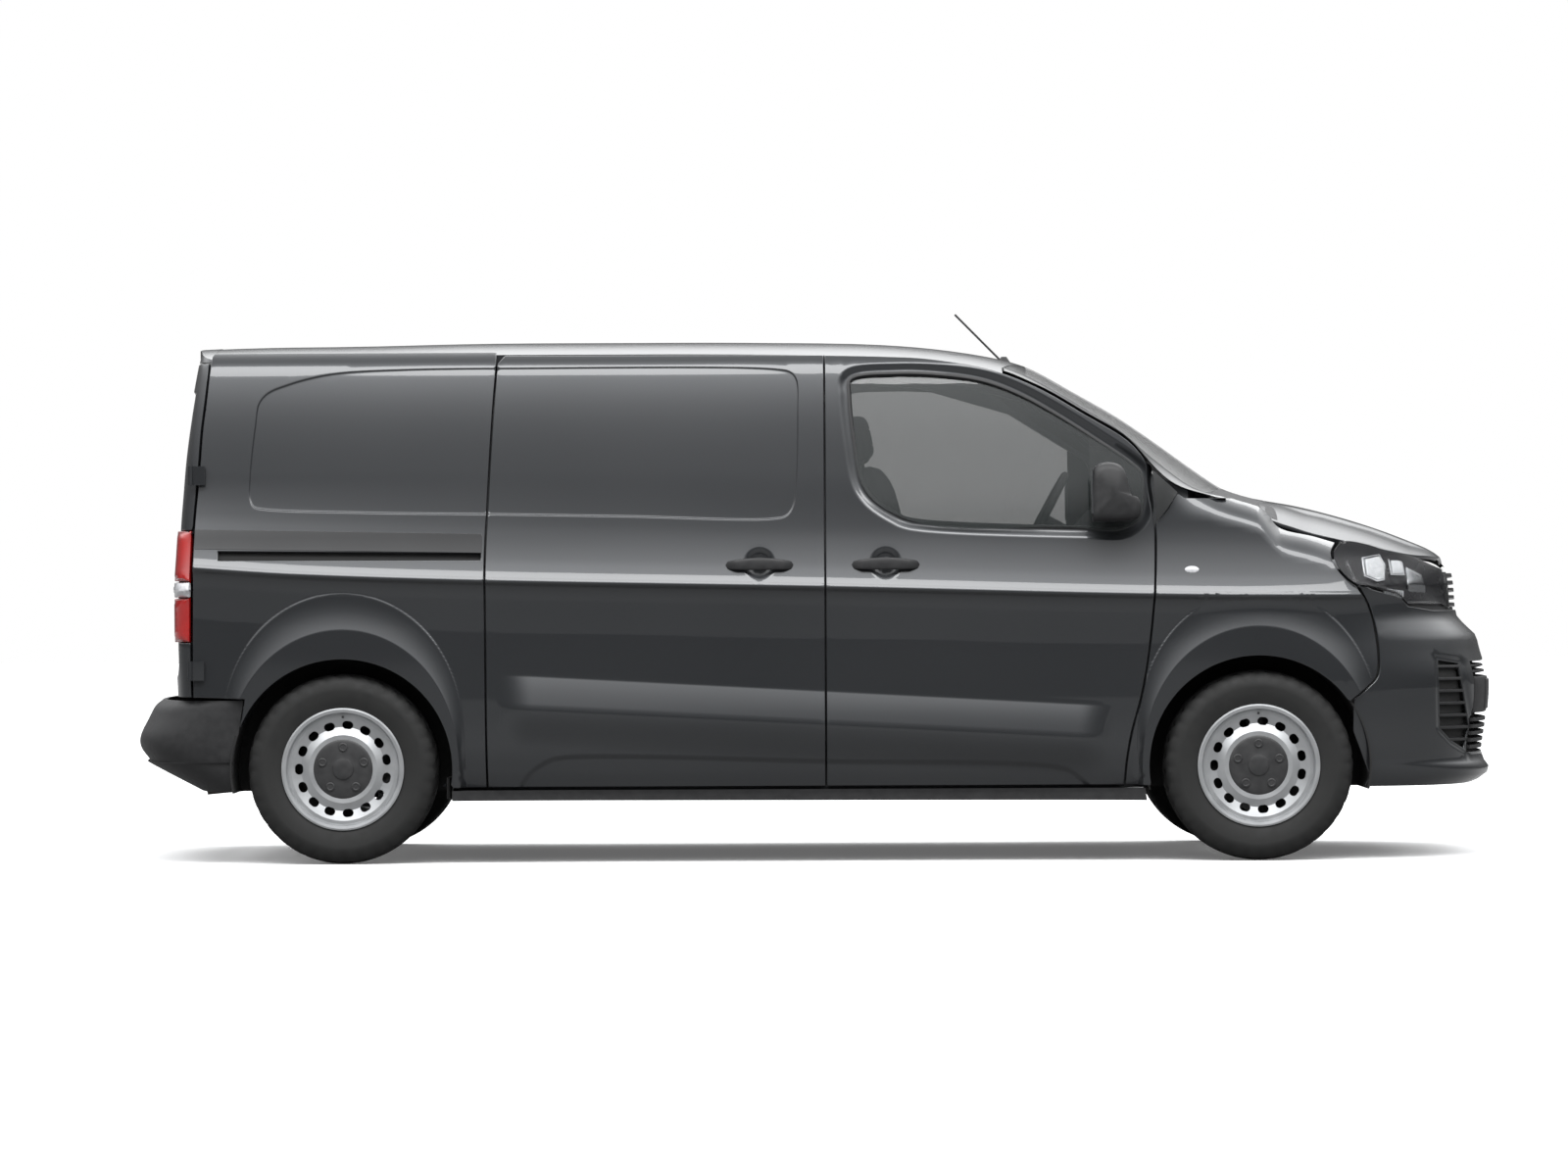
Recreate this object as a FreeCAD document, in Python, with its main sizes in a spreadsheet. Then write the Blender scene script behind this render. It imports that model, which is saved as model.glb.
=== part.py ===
import FreeCAD, Part
import math
import os
import Sketcher

# A panel van. X points forward, Y to the van's left, Z up; the ground is at zero.

V = FreeCAD.Vector
doc = FreeCAD.newDocument("panel_van")

# Driving sizes

sheet = doc.addObject("Spreadsheet::Sheet", "Dims")
DRIVING = [
    ("van_length", 4980),
    ("van_width", 1920),
    ("roof_height", 1887),
    ("wheelbase", 3275),
    ("front_overhang", 912),
    ("wheel_track", 1627),
    ("tyre_diameter", 682),
    ("tyre_width", 215),
    ("rim_diameter", 438),
    ("slot_count", 15),
    ("panel_gap", 6),
    ("glass_depth", 5),
    ("seat_width", 460),
]
for row, (alias, amount) in enumerate(DRIVING, start=1):
    unit = "" if alias == "slot_count" else " mm"
    sheet.set("A%d" % row, alias)
    sheet.set("B%d" % row, "=%s%s" % (amount, unit))
    sheet.setAlias("B%d" % row, alias)
doc.recompute()


def size(alias):
    amount = getattr(sheet, alias)
    return float(getattr(amount, "Value", amount))


half_length = size("van_length") / 2
half_width = size("van_width") / 2
height = size("roof_height")
gap = size("panel_gap")
half_gap = gap / 2
glass_depth = size("glass_depth")
front_axle = half_length - size("front_overhang")
rear_axle = front_axle - size("wheelbase")
wheel_radius = size("tyre_diameter") / 2
axle_height = wheel_radius
tyre_half = size("tyre_width") / 2
wheel_side = size("wheel_track") / 2
rim_radius = size("rim_diameter") / 2
arch_radius = wheel_radius + 52.0
liner_radius = arch_radius + 4.0
RIGHT, LEFT = -1, 1
SIDES = (("right", RIGHT), ("left", LEFT))
far = half_length * 2

# The body's master curves, as shares of half the length, half the width and the height

section_shares = [
    (0.132, 0.930), (0.175, 0.953), (0.230, 0.968), (0.300, 0.972), (0.424, 0.970), (0.485, 0.974),
    (0.512, 0.985), (0.522, 1.0), (0.532, 0.994), (0.550, 0.982), (0.583, 0.969), (0.615, 0.961),
    (0.657, 0.950), (0.742, 0.919), (0.848, 0.877), (0.912, 0.844), (0.954, 0.802), (0.975, 0.766),
    (0.985, 0.730),
]
crease_rise_shares = [
    (-0.894, 0.040), (-0.749, 0.027), (-0.474, 0.014), (0.010, 0.0), (0.480, -0.017), (0.620, -0.020),
]
level_shares = [
    0.10, 0.14, 0.17, 0.20, 0.23, 0.255, 0.28, 0.30, 0.32, 0.34, 0.36, 0.39, 0.42, 0.45, 0.475, 0.495,
    0.508, 0.516, 0.522, 0.528, 0.538, 0.553, 0.575, 0.60, 0.63, 0.67, 0.72, 0.77, 0.82, 0.87, 0.91,
    0.94, 0.96, 0.975, 0.985, 1.0,
]
lining_shares = [
    (0.132, 0.880), (0.318, 0.919), (0.522, 0.943), (0.742, 0.865), (0.912, 0.786), (0.975, 0.720),
]
nose_plan_shares = [(0, 0), (0, 0.35), (0.016, 0.80), (0.060, 0.97), (0.20, 1.0), (0.36, 1.0)]
tail_plan_shares = [(0, 0), (0, 0.40), (0.0012, 0.85), (0.0008, 1.0), (0.014, 1.0), (0.060, 1.0)]
rear_bumper_plan_shares = [(0, 0), (0, 0.35), (0.012, 0.80), (0.015, 1.0), (0.05, 1.0), (0.16, 1.0)]
centre_profile_shares = [
    (-0.904, 0.986), (-0.860, 0.991), (-0.657, 0.994), (-0.424, 0.999), (-0.191, 0.999),
    (0.042, 0.996), (0.158, 0.988), (0.216, 0.978), (0.275, 0.966), (0.304, 0.956), (0.333, 0.939),
    (0.391, 0.896), (0.449, 0.852), (0.507, 0.800), (0.565, 0.745), (0.608, 0.709), (0.652, 0.691),
    (0.710, 0.677), (0.768, 0.658), (0.827, 0.634), (0.885, 0.605), (0.914, 0.588), (0.928, 0.574),
    (0.943, 0.549),
]
crown_shares = [
    (-0.904, 0.040), (0.200, 0.040), (0.320, 0.022), (0.600, 0.020), (0.680, 0.036), (0.943, 0.030),
]
bumper_nose_shares = [
    (0.136, 0.965), (0.154, 0.994), (0.168, 0.998), (0.191, 0.986), (0.266, 0.993), (0.330, 0.996),
    (0.399, 0.984), (0.423, 0.979), (0.440, 0.966), (0.465, 0.950), (0.515, 0.947), (0.549, 0.943),
    (0.574, 0.928),
]
corner_nose_shares = [(0.136, 0.985), (0.340, 0.985), (0.480, 0.945), (0.574, 0.935)]
rear_edge_shares = [
    (0.140, 0.926), (0.321, 0.928), (0.418, 0.931), (0.635, 0.927), (0.712, 0.923), (0.764, 0.920),
    (0.860, 0.911), (0.968, 0.898), (0.986, 0.896),
]
rear_bumper_nose_shares = [
    (0.152, 0.920), (0.167, 0.955), (0.201, 0.990), (0.230, 1.0), (0.279, 0.985), (0.319, 0.965),
]

# Panel outlines seen from the side, as shares of half the length and the height

door_top_shares = [
    (0.012, 0.966), (0.100, 0.963), (0.163, 0.958), (0.253, 0.936), (0.320, 0.901), (0.388, 0.849),
    (0.447, 0.801), (0.469, 0.771), (0.476, 0.754),
]
wing_gap_shares = [
    (0.476, 0.754), (0.479, 0.694), (0.486, 0.640), (0.487, 0.605), (0.485, 0.516), (0.480, 0.438),
    (0.473, 0.368), (0.464, 0.308), (0.451, 0.244), (0.444, 0.190), (0.441, 0.136),
]
slide_rear_shares = [
    (-0.460, 0.951), (-0.467, 0.817), (-0.473, 0.669), (-0.476, 0.580), (-0.476, 0.432),
    (-0.475, 0.225), (-0.474, 0.151),
]
rear_gap_shares = [
    (-0.873, 0.968), (-0.879, 0.880), (-0.884, 0.822), (-0.887, 0.763), (-0.890, 0.710),
    (-0.894, 0.640), (-0.897, 0.421), (-0.896, 0.316),
]
bonnet_side_shares = [
    (0.637, 0.675), (0.651, 0.662), (0.668, 0.634), (0.717, 0.617), (0.751, 0.604),
]
lamp_back_shares = [
    (0.751, 0.604), (0.741, 0.583), (0.746, 0.559), (0.761, 0.534), (0.776, 0.520),
]
wing_bumper_shares = [
    (0.776, 0.520), (0.794, 0.479), (0.806, 0.403), (0.804, 0.349), (0.791, 0.329), (0.768, 0.304),
]
lamp_top_shares = [
    (0.751, 0.604), (0.765, 0.608), (0.790, 0.603), (0.827, 0.589), (0.861, 0.579), (0.896, 0.561),
    (0.930, 0.546),
]
lamp_low_shares = [
    (0.776, 0.520), (0.782, 0.519), (0.818, 0.507), (0.840, 0.499), (0.854, 0.482), (0.930, 0.483),
]
window_shares = [
    (0.049, 0.918), (0.117, 0.930), (0.207, 0.923), (0.251, 0.911), (0.296, 0.887), (0.341, 0.854),
    (0.398, 0.806), (0.455, 0.754), (0.468, 0.735), (0.470, 0.690), (0.464, 0.650), (0.440, 0.630),
    (0.386, 0.631), (0.134, 0.648), (0.112, 0.660), (0.080, 0.689), (0.065, 0.719), (0.054, 0.797),
    (0.047, 0.886),
]
rear_blind_shares = [
    (-0.486, 0.942), (-0.600, 0.940), (-0.680, 0.935), (-0.723, 0.926), (-0.761, 0.912),
    (-0.790, 0.896), (-0.803, 0.876), (-0.808, 0.834), (-0.815, 0.741), (-0.815, 0.692),
    (-0.809, 0.677), (-0.793, 0.672), (-0.653, 0.665), (-0.486, 0.660),
]
slide_blind_shares = [
    (-0.450, 0.942), (-0.056, 0.938), (-0.036, 0.932), (-0.027, 0.918), (-0.025, 0.845),
    (-0.028, 0.714), (-0.033, 0.673), (-0.043, 0.656), (-0.065, 0.650), (-0.272, 0.656),
    (-0.464, 0.661),
]
corner_glass_shares = [(0.481, 0.742), (0.519, 0.697), (0.503, 0.664), (0.489, 0.645)]


def curve(table, amount):
    """Smooth curve through a table of pairs, without overshoot; flat beyond its ends."""
    if amount <= table[0][0]:
        return table[0][1]
    if amount >= table[-1][0]:
        return table[-1][1]
    slopes = []
    for (a0, b0), (a1, b1) in zip(table, table[1:]):
        slopes.append((b1 - b0) / (a1 - a0))
    tangents = [slopes[0]]
    for before, after in zip(slopes, slopes[1:]):
        flat = before * after <= 0
        tangents.append(0.0 if flat else 2 * before * after / (before + after))
    tangents.append(slopes[-1])
    for index, ((a0, b0), (a1, b1)) in enumerate(zip(table, table[1:])):
        if amount <= a1:
            span = a1 - a0
            t = (amount - a0) / span
            keep = (1 + 2 * t) * (1 - t) ** 2
            rise = t * (1 - t) ** 2 * span
            reach = t * t * (3 - 2 * t)
            fall = t * t * (t - 1) * span
            return keep * b0 + rise * tangents[index] + reach * b1 + fall * tangents[index + 1]
    return table[-1][1]


def steps(start, end, count):
    return [start + (end - start) * index / (count - 1) for index in range(count)]


def ease(amount):
    t = min(1.0, max(0.0, amount))
    return t * t * (3 - 2 * t)


def plan_point(controls, t):
    """Point on a plan curve: how far back from the end, and how far out, as shares."""
    order = len(controls) - 1
    back = out = 0.0
    for index, (control_back, control_out) in enumerate(controls):
        weight = math.comb(order, index) * t ** index * (1 - t) ** (order - index)
        back += weight * control_back
        out += weight * control_out
    return back, out


corner_line = [plan_point(nose_plan_shares, t) for t in steps(0.0, 1.0, 25)]


def corner_width(nose, x):
    """Share of the half width that the plan curve of the nose reaches at x."""
    return curve(corner_line, (nose - x) / half_length)


flare_side = 35.0
flare_top = 125.0
flare_flat_side = 25.0
flare_flat_top = 75.0
flare_lip = 6.0


def flare(x, z):
    """How far the wheel arch pulls the skin out to full width, from 0 to 1."""
    best = 0.0
    for axle in (front_axle, rear_axle):
        across, up = x - axle, max(0.0, z - axle_height)
        reach = math.hypot(across, up)
        climb = (up / reach) ** 2 if reach > 0 else 1.0
        start = arch_radius + flare_flat_side + flare_flat_top * climb
        width = flare_side + flare_top * climb
        best = max(best, 1.0 - ease((reach - start) / width))
    return best


ledge_proud = 20.0
ledge_slope = 0.055
ledge_rear_share = -0.462
ledge_front_share = 0.428
ledge_fade_share = 0.055
ledge_high_share = 0.338
ledge_drop_share = 0.045
ledge_low_share = 0.190
ledge_under_share = 0.075


def ledge(x, z):
    """How far the long ledge above the sill stands out of the side."""
    level = (z + ledge_slope * x) / height
    along_side = x / half_length
    amount = ease((ledge_high_share - level) / ledge_drop_share)
    amount *= ease((level - ledge_low_share) / ledge_under_share)
    amount *= ease((along_side - ledge_rear_share) / ledge_fade_share)
    return ledge_proud * amount * ease((ledge_front_share - along_side) / ledge_fade_share)


def crease_rise(x, share):
    """How far, as a share of the height, the waist crease has risen at x; it fades above and below."""
    fade = ease((share - 0.36) / 0.09) * ease((0.73 - share) / 0.11)
    return fade * curve(crease_rise_shares, x / half_length)


shoulder_rise = 110.0
shoulder_tuck = 95.0
shoulder_start_share = 0.50
shoulder_full_share = 0.62
tail_tuck = 12.0
tail_start_share = 0.74
tail_full_share = 0.90
bonnet_line_shares = [
    (0.560, 0.700), (0.637, 0.675), (0.668, 0.634), (0.717, 0.617), (0.751, 0.604), (0.930, 0.546),
]


def side_half(x, z):
    """Half width of the body's outer skin."""
    share = z / height
    out = half_width * curve(section_shares, share - crease_rise(x, share)) + ledge(x, z)
    out += flare(x, z) * max(0.0, half_width - flare_lip - out)
    nose = half_length * curve(corner_nose_shares, z / height)
    out *= corner_width(nose, x)
    edge = height * curve(bonnet_line_shares, x / half_length)
    tuck = min(1.0, max(0.0, (z - edge + shoulder_rise) / shoulder_rise)) ** 2.5
    start, full = half_length * shoulder_start_share, half_length * shoulder_full_share
    out -= shoulder_tuck * tuck * ease((x - start) / (full - start))
    start, full = half_length * tail_start_share, half_length * tail_full_share
    out -= tail_tuck * ease((-x - start) / (full - start))
    return out


def lining_half(x, z):
    """Half width inside the body walls."""
    inner = half_width * curve(lining_shares, z / height)
    nose = half_length * curve(corner_nose_shares, z / height)
    return inner * corner_width(nose, x)


sweep_back = 110.0
sweep_side_share = 0.78
crown_side_share = 0.823


def top_height(x, y):
    """Height of the roof, windscreen and bonnet."""
    side = abs(y) / half_width
    back = sweep_back * (side / sweep_side_share) ** 2
    line = height * curve(centre_profile_shares, (x + back) / half_length)
    fall = height * curve(crown_shares, x / half_length) * (side / crown_side_share) ** 4
    return line - fall


# Helpers for panels


def skin(grid):
    surface = Part.BSplineSurface()
    surface.interpolate(grid)
    return surface


def slab(outer, inner):
    """A solid between two grids of points."""
    front, back = skin(outer), skin(inner)
    faces = [front.toShape(), back.toShape()]
    u0, u1, v0, v1 = front.bounds()
    s0, s1, t0, t1 = back.bounds()
    edges = [
        (front.uIso(u0), back.uIso(s0)),
        (front.uIso(u1), back.uIso(s1)),
        (front.vIso(v0), back.vIso(t0)),
        (front.vIso(v1), back.vIso(t1)),
    ]
    for near_edge, far_edge in edges:
        faces.append(Part.makeRuledSurface(near_edge.toShape(), far_edge.toShape()))
    shell = Part.Shell(faces)
    shell.sewShape()
    solid = Part.makeSolid(shell.Shells[0])
    if solid.Volume < 0:
        solid.reverse()
    return solid


def solids(shape):
    """The shape as one solid, or as a compound of the solids it has."""
    found = shape.Solids
    return found[0] if len(found) == 1 else Part.makeCompound(found)


def levels(x, z0, z1):
    """Heights for a column of skin points, closer together about the crease, which they follow."""
    inside = [share for share in level_shares if z0 + 8.0 < share * height < z1 - 8.0]
    middle = [height * (share + crease_rise(x, share)) for share in inside]
    return [z0] + middle + [z1]


def side_slab(side, x0, x1, z0, z1, columns, rows, deep=lining_half, skim=0.0, depth=None):
    """Wall between the outer skin and the lining, or of a fixed depth under the skin."""
    outer, inner = [], []
    for x in steps(x0, x1, columns):
        column = levels(x, z0, z1) if rows is None else steps(z0, z1, rows)
        outer.append([V(x, side * (side_half(x, z) - skim), z) for z in column])
        if depth is None:
            inner.append([V(x, side * deep(x, z), z) for z in column])
        else:
            inner.append([V(x, side * (side_half(x, z) - skim - depth), z) for z in column])
    return slab(outer, inner)


def lining_slab(side, x0, x1, z0, z1, columns, rows, shallow, deep):
    """Wall between two depths inside the lining."""
    outer, inner = [], []
    for x in steps(x0, x1, columns):
        outer.append([V(x, side * (lining_half(x, z) - shallow), z) for z in steps(z0, z1, rows)])
        inner.append([V(x, side * (lining_half(x, z) - deep), z) for z in steps(z0, z1, rows)])
    return slab(outer, inner)


def top_slab(x0, x1, y1, columns, rows, depth):
    outer, inner = [], []
    for x in steps(x0, x1, columns):
        outer.append([V(x, y, top_height(x, y)) for y in steps(-y1, y1, rows)])
        inner.append([V(x, y, top_height(x, y) - depth) for y in steps(-y1, y1, rows)])
    return slab(outer, inner)


def wrap_slab(end, plan, tip, low, high, turns, rows, depth, width=None):
    """Skin wrapped round an end of the body; end is 1 for the nose, -1 for the tail."""
    def point(turn, z, inset):
        t = abs(turn)
        across = width(z) if width else half_width * curve(section_shares, z / height)
        back, out = plan_point(plan, t)
        x = tip(t, z) - half_length * back
        y = across * out
        return x - inset, y * (across - inset) / across

    outer, inner = [], []
    for turn in turns:
        rim, core = [], []
        for z in steps(low, high, rows):
            x, y = point(turn, z, 0)
            rim.append(V(end * x, math.copysign(y, turn), z))
            x, y = point(turn, z, depth)
            core.append(V(end * x, math.copysign(y, turn), z))
        outer.append(rim)
        inner.append(core)
    return slab(outer, inner)


def along(shares):
    """Outline points seen from the side."""
    return [V(x * half_length, 0, z * height) for x, z in shares]


def strand(points):
    if len(points) == 2:
        return Part.makeLine(points[0], points[1])
    bend = Part.BSplineCurve()
    bend.interpolate(points)
    return bend.toShape()


trace_count = 16


def traced(edge):
    """The same edge as a plain line or spline."""
    if isinstance(edge.Curve, Part.Line):
        return Part.makeLine(edge.Vertexes[0].Point, edge.Vertexes[-1].Point)
    return strand(edge.discretize(Number=trace_count))


def outline(strands, grow=0.0):
    """Face inside a loop of strands, grown or shrunk by half a panel gap."""
    face = Part.Face(Part.Wire([strand(points) for points in strands]))
    if not grow:
        return face
    shifted = face.makeOffset2D(grow)
    return Part.Face(Part.Wire([traced(edge) for edge in shifted.OuterWire.OrderedEdges]))


def polygon(points):
    return Part.Face(Part.makePolygon(points + [points[0]]))


def side_prism(face, side, start=0.0):
    """Prism from a side outline, out through one side of the body."""
    return face.translated(V(0, side * start, 0)).extrude(V(0, side * (far - start), 0))


def block(x0, x1, y0, y1, z0, z1):
    low_y, high_y = min(y0, y1), max(y0, y1)
    return Part.makeBox(x1 - x0, high_y - low_y, z1 - z0, V(x0, low_y, z0))


def rod(radius, start, end):
    return Part.makeCylinder(radius, (end - start).Length, start, end - start)


def ring(radius, wall, start, end):
    return rod(radius, start, end).cut(rod(radius - wall, start, end))


def tube(points, radius):
    """Round tube along straight runs, with a ball at each bend."""
    body = rod(radius, points[0], points[1])
    for start, end in zip(points[1:], points[2:]):
        body = body.fuse(Part.makeSphere(radius, start)).fuse(rod(radius, start, end))
    return body


NODES = []


def node(name, shape):
    shape = solids(shape)
    if not shape.isValid() or not shape.Solids:
        raise ValueError(name + " is not a valid solid")
    feature = doc.addObject("Part::Feature", name)
    feature.Shape = shape
    feature.Label = name
    NODES.append(feature)
    return feature


def pair(name, shapes):
    """One node from like pieces on one body that don't touch."""
    parts = []
    for shape in shapes:
        parts.extend(shape.Solids)
    return node(name, Part.makeCompound(parts))


def largest(shape):
    return sorted(shape.Solids, key=lambda piece: -piece.Volume)[0]


# Joint lines

blind_depth = 4.0
door_pin_x = half_length * 0.4715
door_pin_y = half_width - 15.0
door_nose_radius = 39.5
hinge_low = height * 0.368
hinge_high = height * 0.738
rear_pin_x = -half_length * 0.899
pin_proud = 18.0
bonnet_pin_x = half_length * 0.6245
bonnet_pin_z = height * 0.657
bonnet_sweep = 106.0
kingpin_y = wheel_side - 60.0


def rear_pin(side, z):
    """Point on a rear door's hinge line, just proud of the skin at both hinges."""
    low_y = side_half(rear_pin_x, hinge_low) + pin_proud
    high_y = side_half(rear_pin_x, hinge_high) + pin_proud
    y = low_y + (high_y - low_y) * (z - hinge_low) / (hinge_high - hinge_low)
    return V(rear_pin_x, side * y, z)


# Shared lines

sill_z = height * 0.143
split_x = half_length * 0.0125
arch_holes = []
for axle in (front_axle, rear_axle):
    arch_holes.append(rod(arch_radius, V(axle, -far, axle_height), V(axle, far, axle_height)))
arches = arch_holes[0].fuse(arch_holes[1])
wing_gap = along(wing_gap_shares)
door_top = along(door_top_shares)
door_rear = [V(split_x, 0, sill_z), door_top[0]]
slide_rear = along(slide_rear_shares)
slide_corner = V(half_length * -0.449, 0, height * 0.968)
rear_gap = along(rear_gap_shares)
base_front = V(wing_gap[-1].x, 0, sill_z)
wing_gap[-1] = base_front
slide_rear[-1] = V(slide_rear[-1].x, 0, sill_z)

# Roof and windscreen

pillar_line_shares = [
    (-0.870, 0.776), (0.050, 0.776), (0.120, 0.772), (0.180, 0.755), (0.260, 0.715), (0.310, 0.700),
    (0.360, 0.705), (0.440, 0.745), (0.520, 0.790), (0.590, 0.825), (0.640, 0.835),
]


def pillar_line(x):
    return half_width * curve(pillar_line_shares, x / half_length)


roof_depth = 34.0
screen_depth = 6.0
roof_back = half_length * -0.897
screen_top = half_length * 0.315
screen_foot = half_length * 0.606


def plan_face(x0_centre, x1_centre, sweep):
    """Outline from above between two swept lines, out to the pillars."""
    left = []
    for x in steps(x0_centre, x1_centre, 12):
        left.append(V(x, pillar_line(x), 0))
    right = [V(p.x, -p.y, 0) for p in reversed(left)]
    bow = V(x1_centre + sweep, 0, 0)
    stern = V(x0_centre + sweep, 0, 0)
    front_edge = [left[-1], bow, right[0]]
    rear_edge = [right[-1], stern, left[0]]
    return Part.Face(Part.Wire([strand(left), strand(front_edge), strand(right), strand(rear_edge)]))


screen_sweep = half_length * 0.045
roof_front_corner = screen_top - screen_sweep
screen_face = plan_face(roof_front_corner, screen_foot - screen_sweep, screen_sweep)
screen_prism = screen_face.extrude(V(0, 0, far))
screen = top_slab(roof_front_corner - 10.0, screen_foot + 10.0, half_width * 0.85, 14, 13, screen_depth)
screen = screen.common(screen_prism)
node("windscreen", screen)

roof_edge_shares = [(-0.870, 0.776), (0.100, 0.776), (0.190, 0.795), (0.270, 0.830)]
screen_corner = pillar_line(roof_front_corner)
tail_bow = 12.0


def roof_panel(depth, grow):
    """The roof, or with grow the room that the doors have to leave round it."""
    left = []
    for x in steps(half_length * -0.870, roof_front_corner + grow, 9):
        left.append(V(x, half_width * curve(roof_edge_shares, x / half_length) + grow, 0))
    right = [V(p.x, -p.y, 0) for p in reversed(left)]
    tail = [
        right[-1], V(roof_back + tail_bow, half_width * -0.62, 0), V(roof_back, 0, 0),
        V(roof_back + tail_bow, half_width * 0.62, 0), left[0],
    ]
    corner = V(left[-1].x, screen_corner, 0)
    bow = [corner, V(screen_top + grow, 0, 0), V(corner.x, -corner.y, 0)]
    wire = Part.Wire([
        strand(left), strand([left[-1], corner]), strand(bow), strand([bow[-1], right[0]]),
        strand(right), strand(tail),
    ])
    sheet_metal = top_slab(roof_back, screen_top + 60.0, half_width * 0.86, 14, 15, depth)
    return sheet_metal.common(Part.Face(wire).extrude(V(0, 0, far)))


header_low = height * 0.956
roof = roof_panel(roof_depth, 0.0)
roof = roof.cut(block(-far, half_length * -0.860, -far, far, 0, header_low))
roof_room = roof_panel(roof_depth + gap, gap)
node("roof", roof)


# Windscreen pillars

pillar_wall = 48.0
pillar_reach_share = 0.50
pillar_bow_share = 0.20
pillar_low_shares = [
    (0.100, 0.967), (0.163, 0.962), (0.253, 0.940), (0.320, 0.905), (0.388, 0.853), (0.447, 0.805),
    (0.476, 0.762), (0.520, 0.712), (0.600, 0.682),
]
pillar_inset = 22.0
pillar_crown = 16.0
pillar_start_share = 0.272
pillar_end_share = 0.600
wing_top_z = height * 0.690
pillar_foot = block(half_length * 0.524, far, -far, far, 0, wing_top_z - half_gap)
pillars = []
for name, side in SIDES:
    outer, inner = [], []
    for x in steps(half_length * pillar_start_share, half_length * pillar_end_share, 12):
        z = height * curve(pillar_low_shares, x / half_length)
        y_low = side_half(x, z)
        y_top = pillar_line(x) - pillar_inset
        z_top = top_height(x, y_top) - screen_depth / 2
        low = V(x, side * y_low, z)
        mid_y = y_low * 0.45 + y_top * 0.55 + pillar_crown
        mid_z = max(z, z_top) * 0.55 + z * 0.45 + gap
        mid = V(x, side * mid_y, mid_z)
        top = V(x, side * y_top, z_top)
        outer.append([low, mid, top])
        reach = min(pillar_wall, (y_low - y_top) * pillar_reach_share)
        low_in = V(x, side * (y_low - reach), z)
        top_in = V(x, side * (y_top + pin_proud), z_top - reach)
        bow = reach * pillar_bow_share
        inner.append([low_in, (low_in + top_in) / 2 + V(0, side * bow, bow / 2), top_in])
    pillars.append(largest(slab(outer, inner).cut([screen, roof, pillar_foot])))
pair("windscreen_pillars", pillars)

# Front doors, with their glass, handles and mirrors

door_face = outline([door_top, wing_gap, [base_front, V(split_x, 0, sill_z)], door_rear], -half_gap)
window_face = outline([along(window_shares + window_shares[:1])])
door_low = sill_z
door_high = height * 0.972
nose_box_reach = 80.0
handle_z = height * 0.566
handle_x = half_length * 0.099
handle_length = half_length * 0.099
handle_height = 40.0
handle_proud = 26.0
handle_wall = 9.0
cup_radius = 55.0
cup_depth = 14.0


def bar_handle(side, x, stand):
    """Bar over a round dish; its two feet meet the skin."""
    face = side_half(x, handle_z)
    low, high = handle_z - handle_height / 2, handle_z + handle_height / 2
    near, out = side * (face - cup_depth), side * (face + stand)
    bar = block(x - handle_length / 2, x + handle_length / 2, out, side * (face + stand - handle_wall),
                low, high)
    bar = bar.makeFillet(handle_wall / 3, bar.Edges)
    feet = []
    foot = handle_length * 0.17
    for end in (-1, 1):
        middle = x + end * (handle_length / 2 - foot / 2 - handle_wall)
        feet.append(block(middle - foot / 2, middle + foot / 2, near, side * (face + stand - 1.0),
                          low + handle_wall, high - handle_wall))
    return bar.fuse(feet)


def nose_trim(side):
    """What has to come off the door's front edge so it turns clear of the wing."""
    pin = V(door_pin_x, side * door_pin_y, 0)
    box = block(pin.x, pin.x + nose_box_reach, pin.y, pin.y + side * nose_box_reach, sill_z, height)
    return box.cut(Part.makeCylinder(door_nose_radius, far, pin))


mirror_x = half_length * 0.428
mirror_low = height * 0.643
mirror_high = height * 0.756
mirror_width = half_length * 0.070
mirror_reach = 215.0
mirror_depth = 60.0
mirror_glass_depth = 3.0

for name, side in SIDES:
    wall = side_slab(side, split_x, half_length * 0.492, door_low, door_high, 18, None)
    shell = wall.common(side_prism(door_face, side, half_width * 0.5))
    opening = side_prism(window_face, side, half_width * 0.5)
    shell = largest(shell.cut(opening).cut(nose_trim(side)).cut([roof_room] + pillars))
    face = side_half(handle_x, handle_z)
    dish = Part.makeCone(cup_radius * 0.8, cup_radius * 1.05, cup_depth + 1.0,
                         V(handle_x, side * (face - cup_depth), handle_z), V(0, side, 0))
    shell = shell.cut(dish)
    handle = bar_handle(side, handle_x, handle_proud)
    shell = shell.cut(handle)
    glass = side_slab(side, split_x, half_length * 0.492, height * 0.61, height * 0.94, 8, 8,
                      skim=14.0, depth=glass_depth)
    glass = glass.common(side_prism(window_face, side, half_width * 0.5))
    y0 = side_half(mirror_x, mirror_high)
    housing = block(mirror_x - mirror_width / 2, mirror_x + mirror_width / 2,
                    side * (y0 + 55.0), side * (y0 + mirror_reach), mirror_low, mirror_high)
    housing = housing.makeFillet(24.0, housing.Edges)
    arm = block(mirror_x - 35.0, mirror_x + 40.0, side * (y0 - 30.0), side * (y0 + 90.0),
                mirror_low + 18.0, mirror_low + 62.0)
    mirror = housing.fuse(arm).cut(shell).cut(glass)
    pieces = sorted(mirror.Solids, key=lambda piece: -piece.Volume)
    mirror = pieces[0]
    shell = shell.cut(mirror)
    face_x = mirror_x - mirror_width / 2
    plate = block(face_x - 1.0, face_x + mirror_glass_depth, side * (y0 + 83.0),
                  side * (y0 + mirror_reach - 28.0), mirror_low + 28.0, mirror_high - 28.0)
    mirror = mirror.cut(plate)
    node("front_door_" + name, shell)
    node("door_glass_" + name, glass)
    node("door_handle_" + name, handle)
    node("mirror_" + name, mirror)
    node("mirror_glass_" + name, plate)

# Load-space sides: a sliding door on the right, one long panel on the left

side_top = height * 0.972


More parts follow.
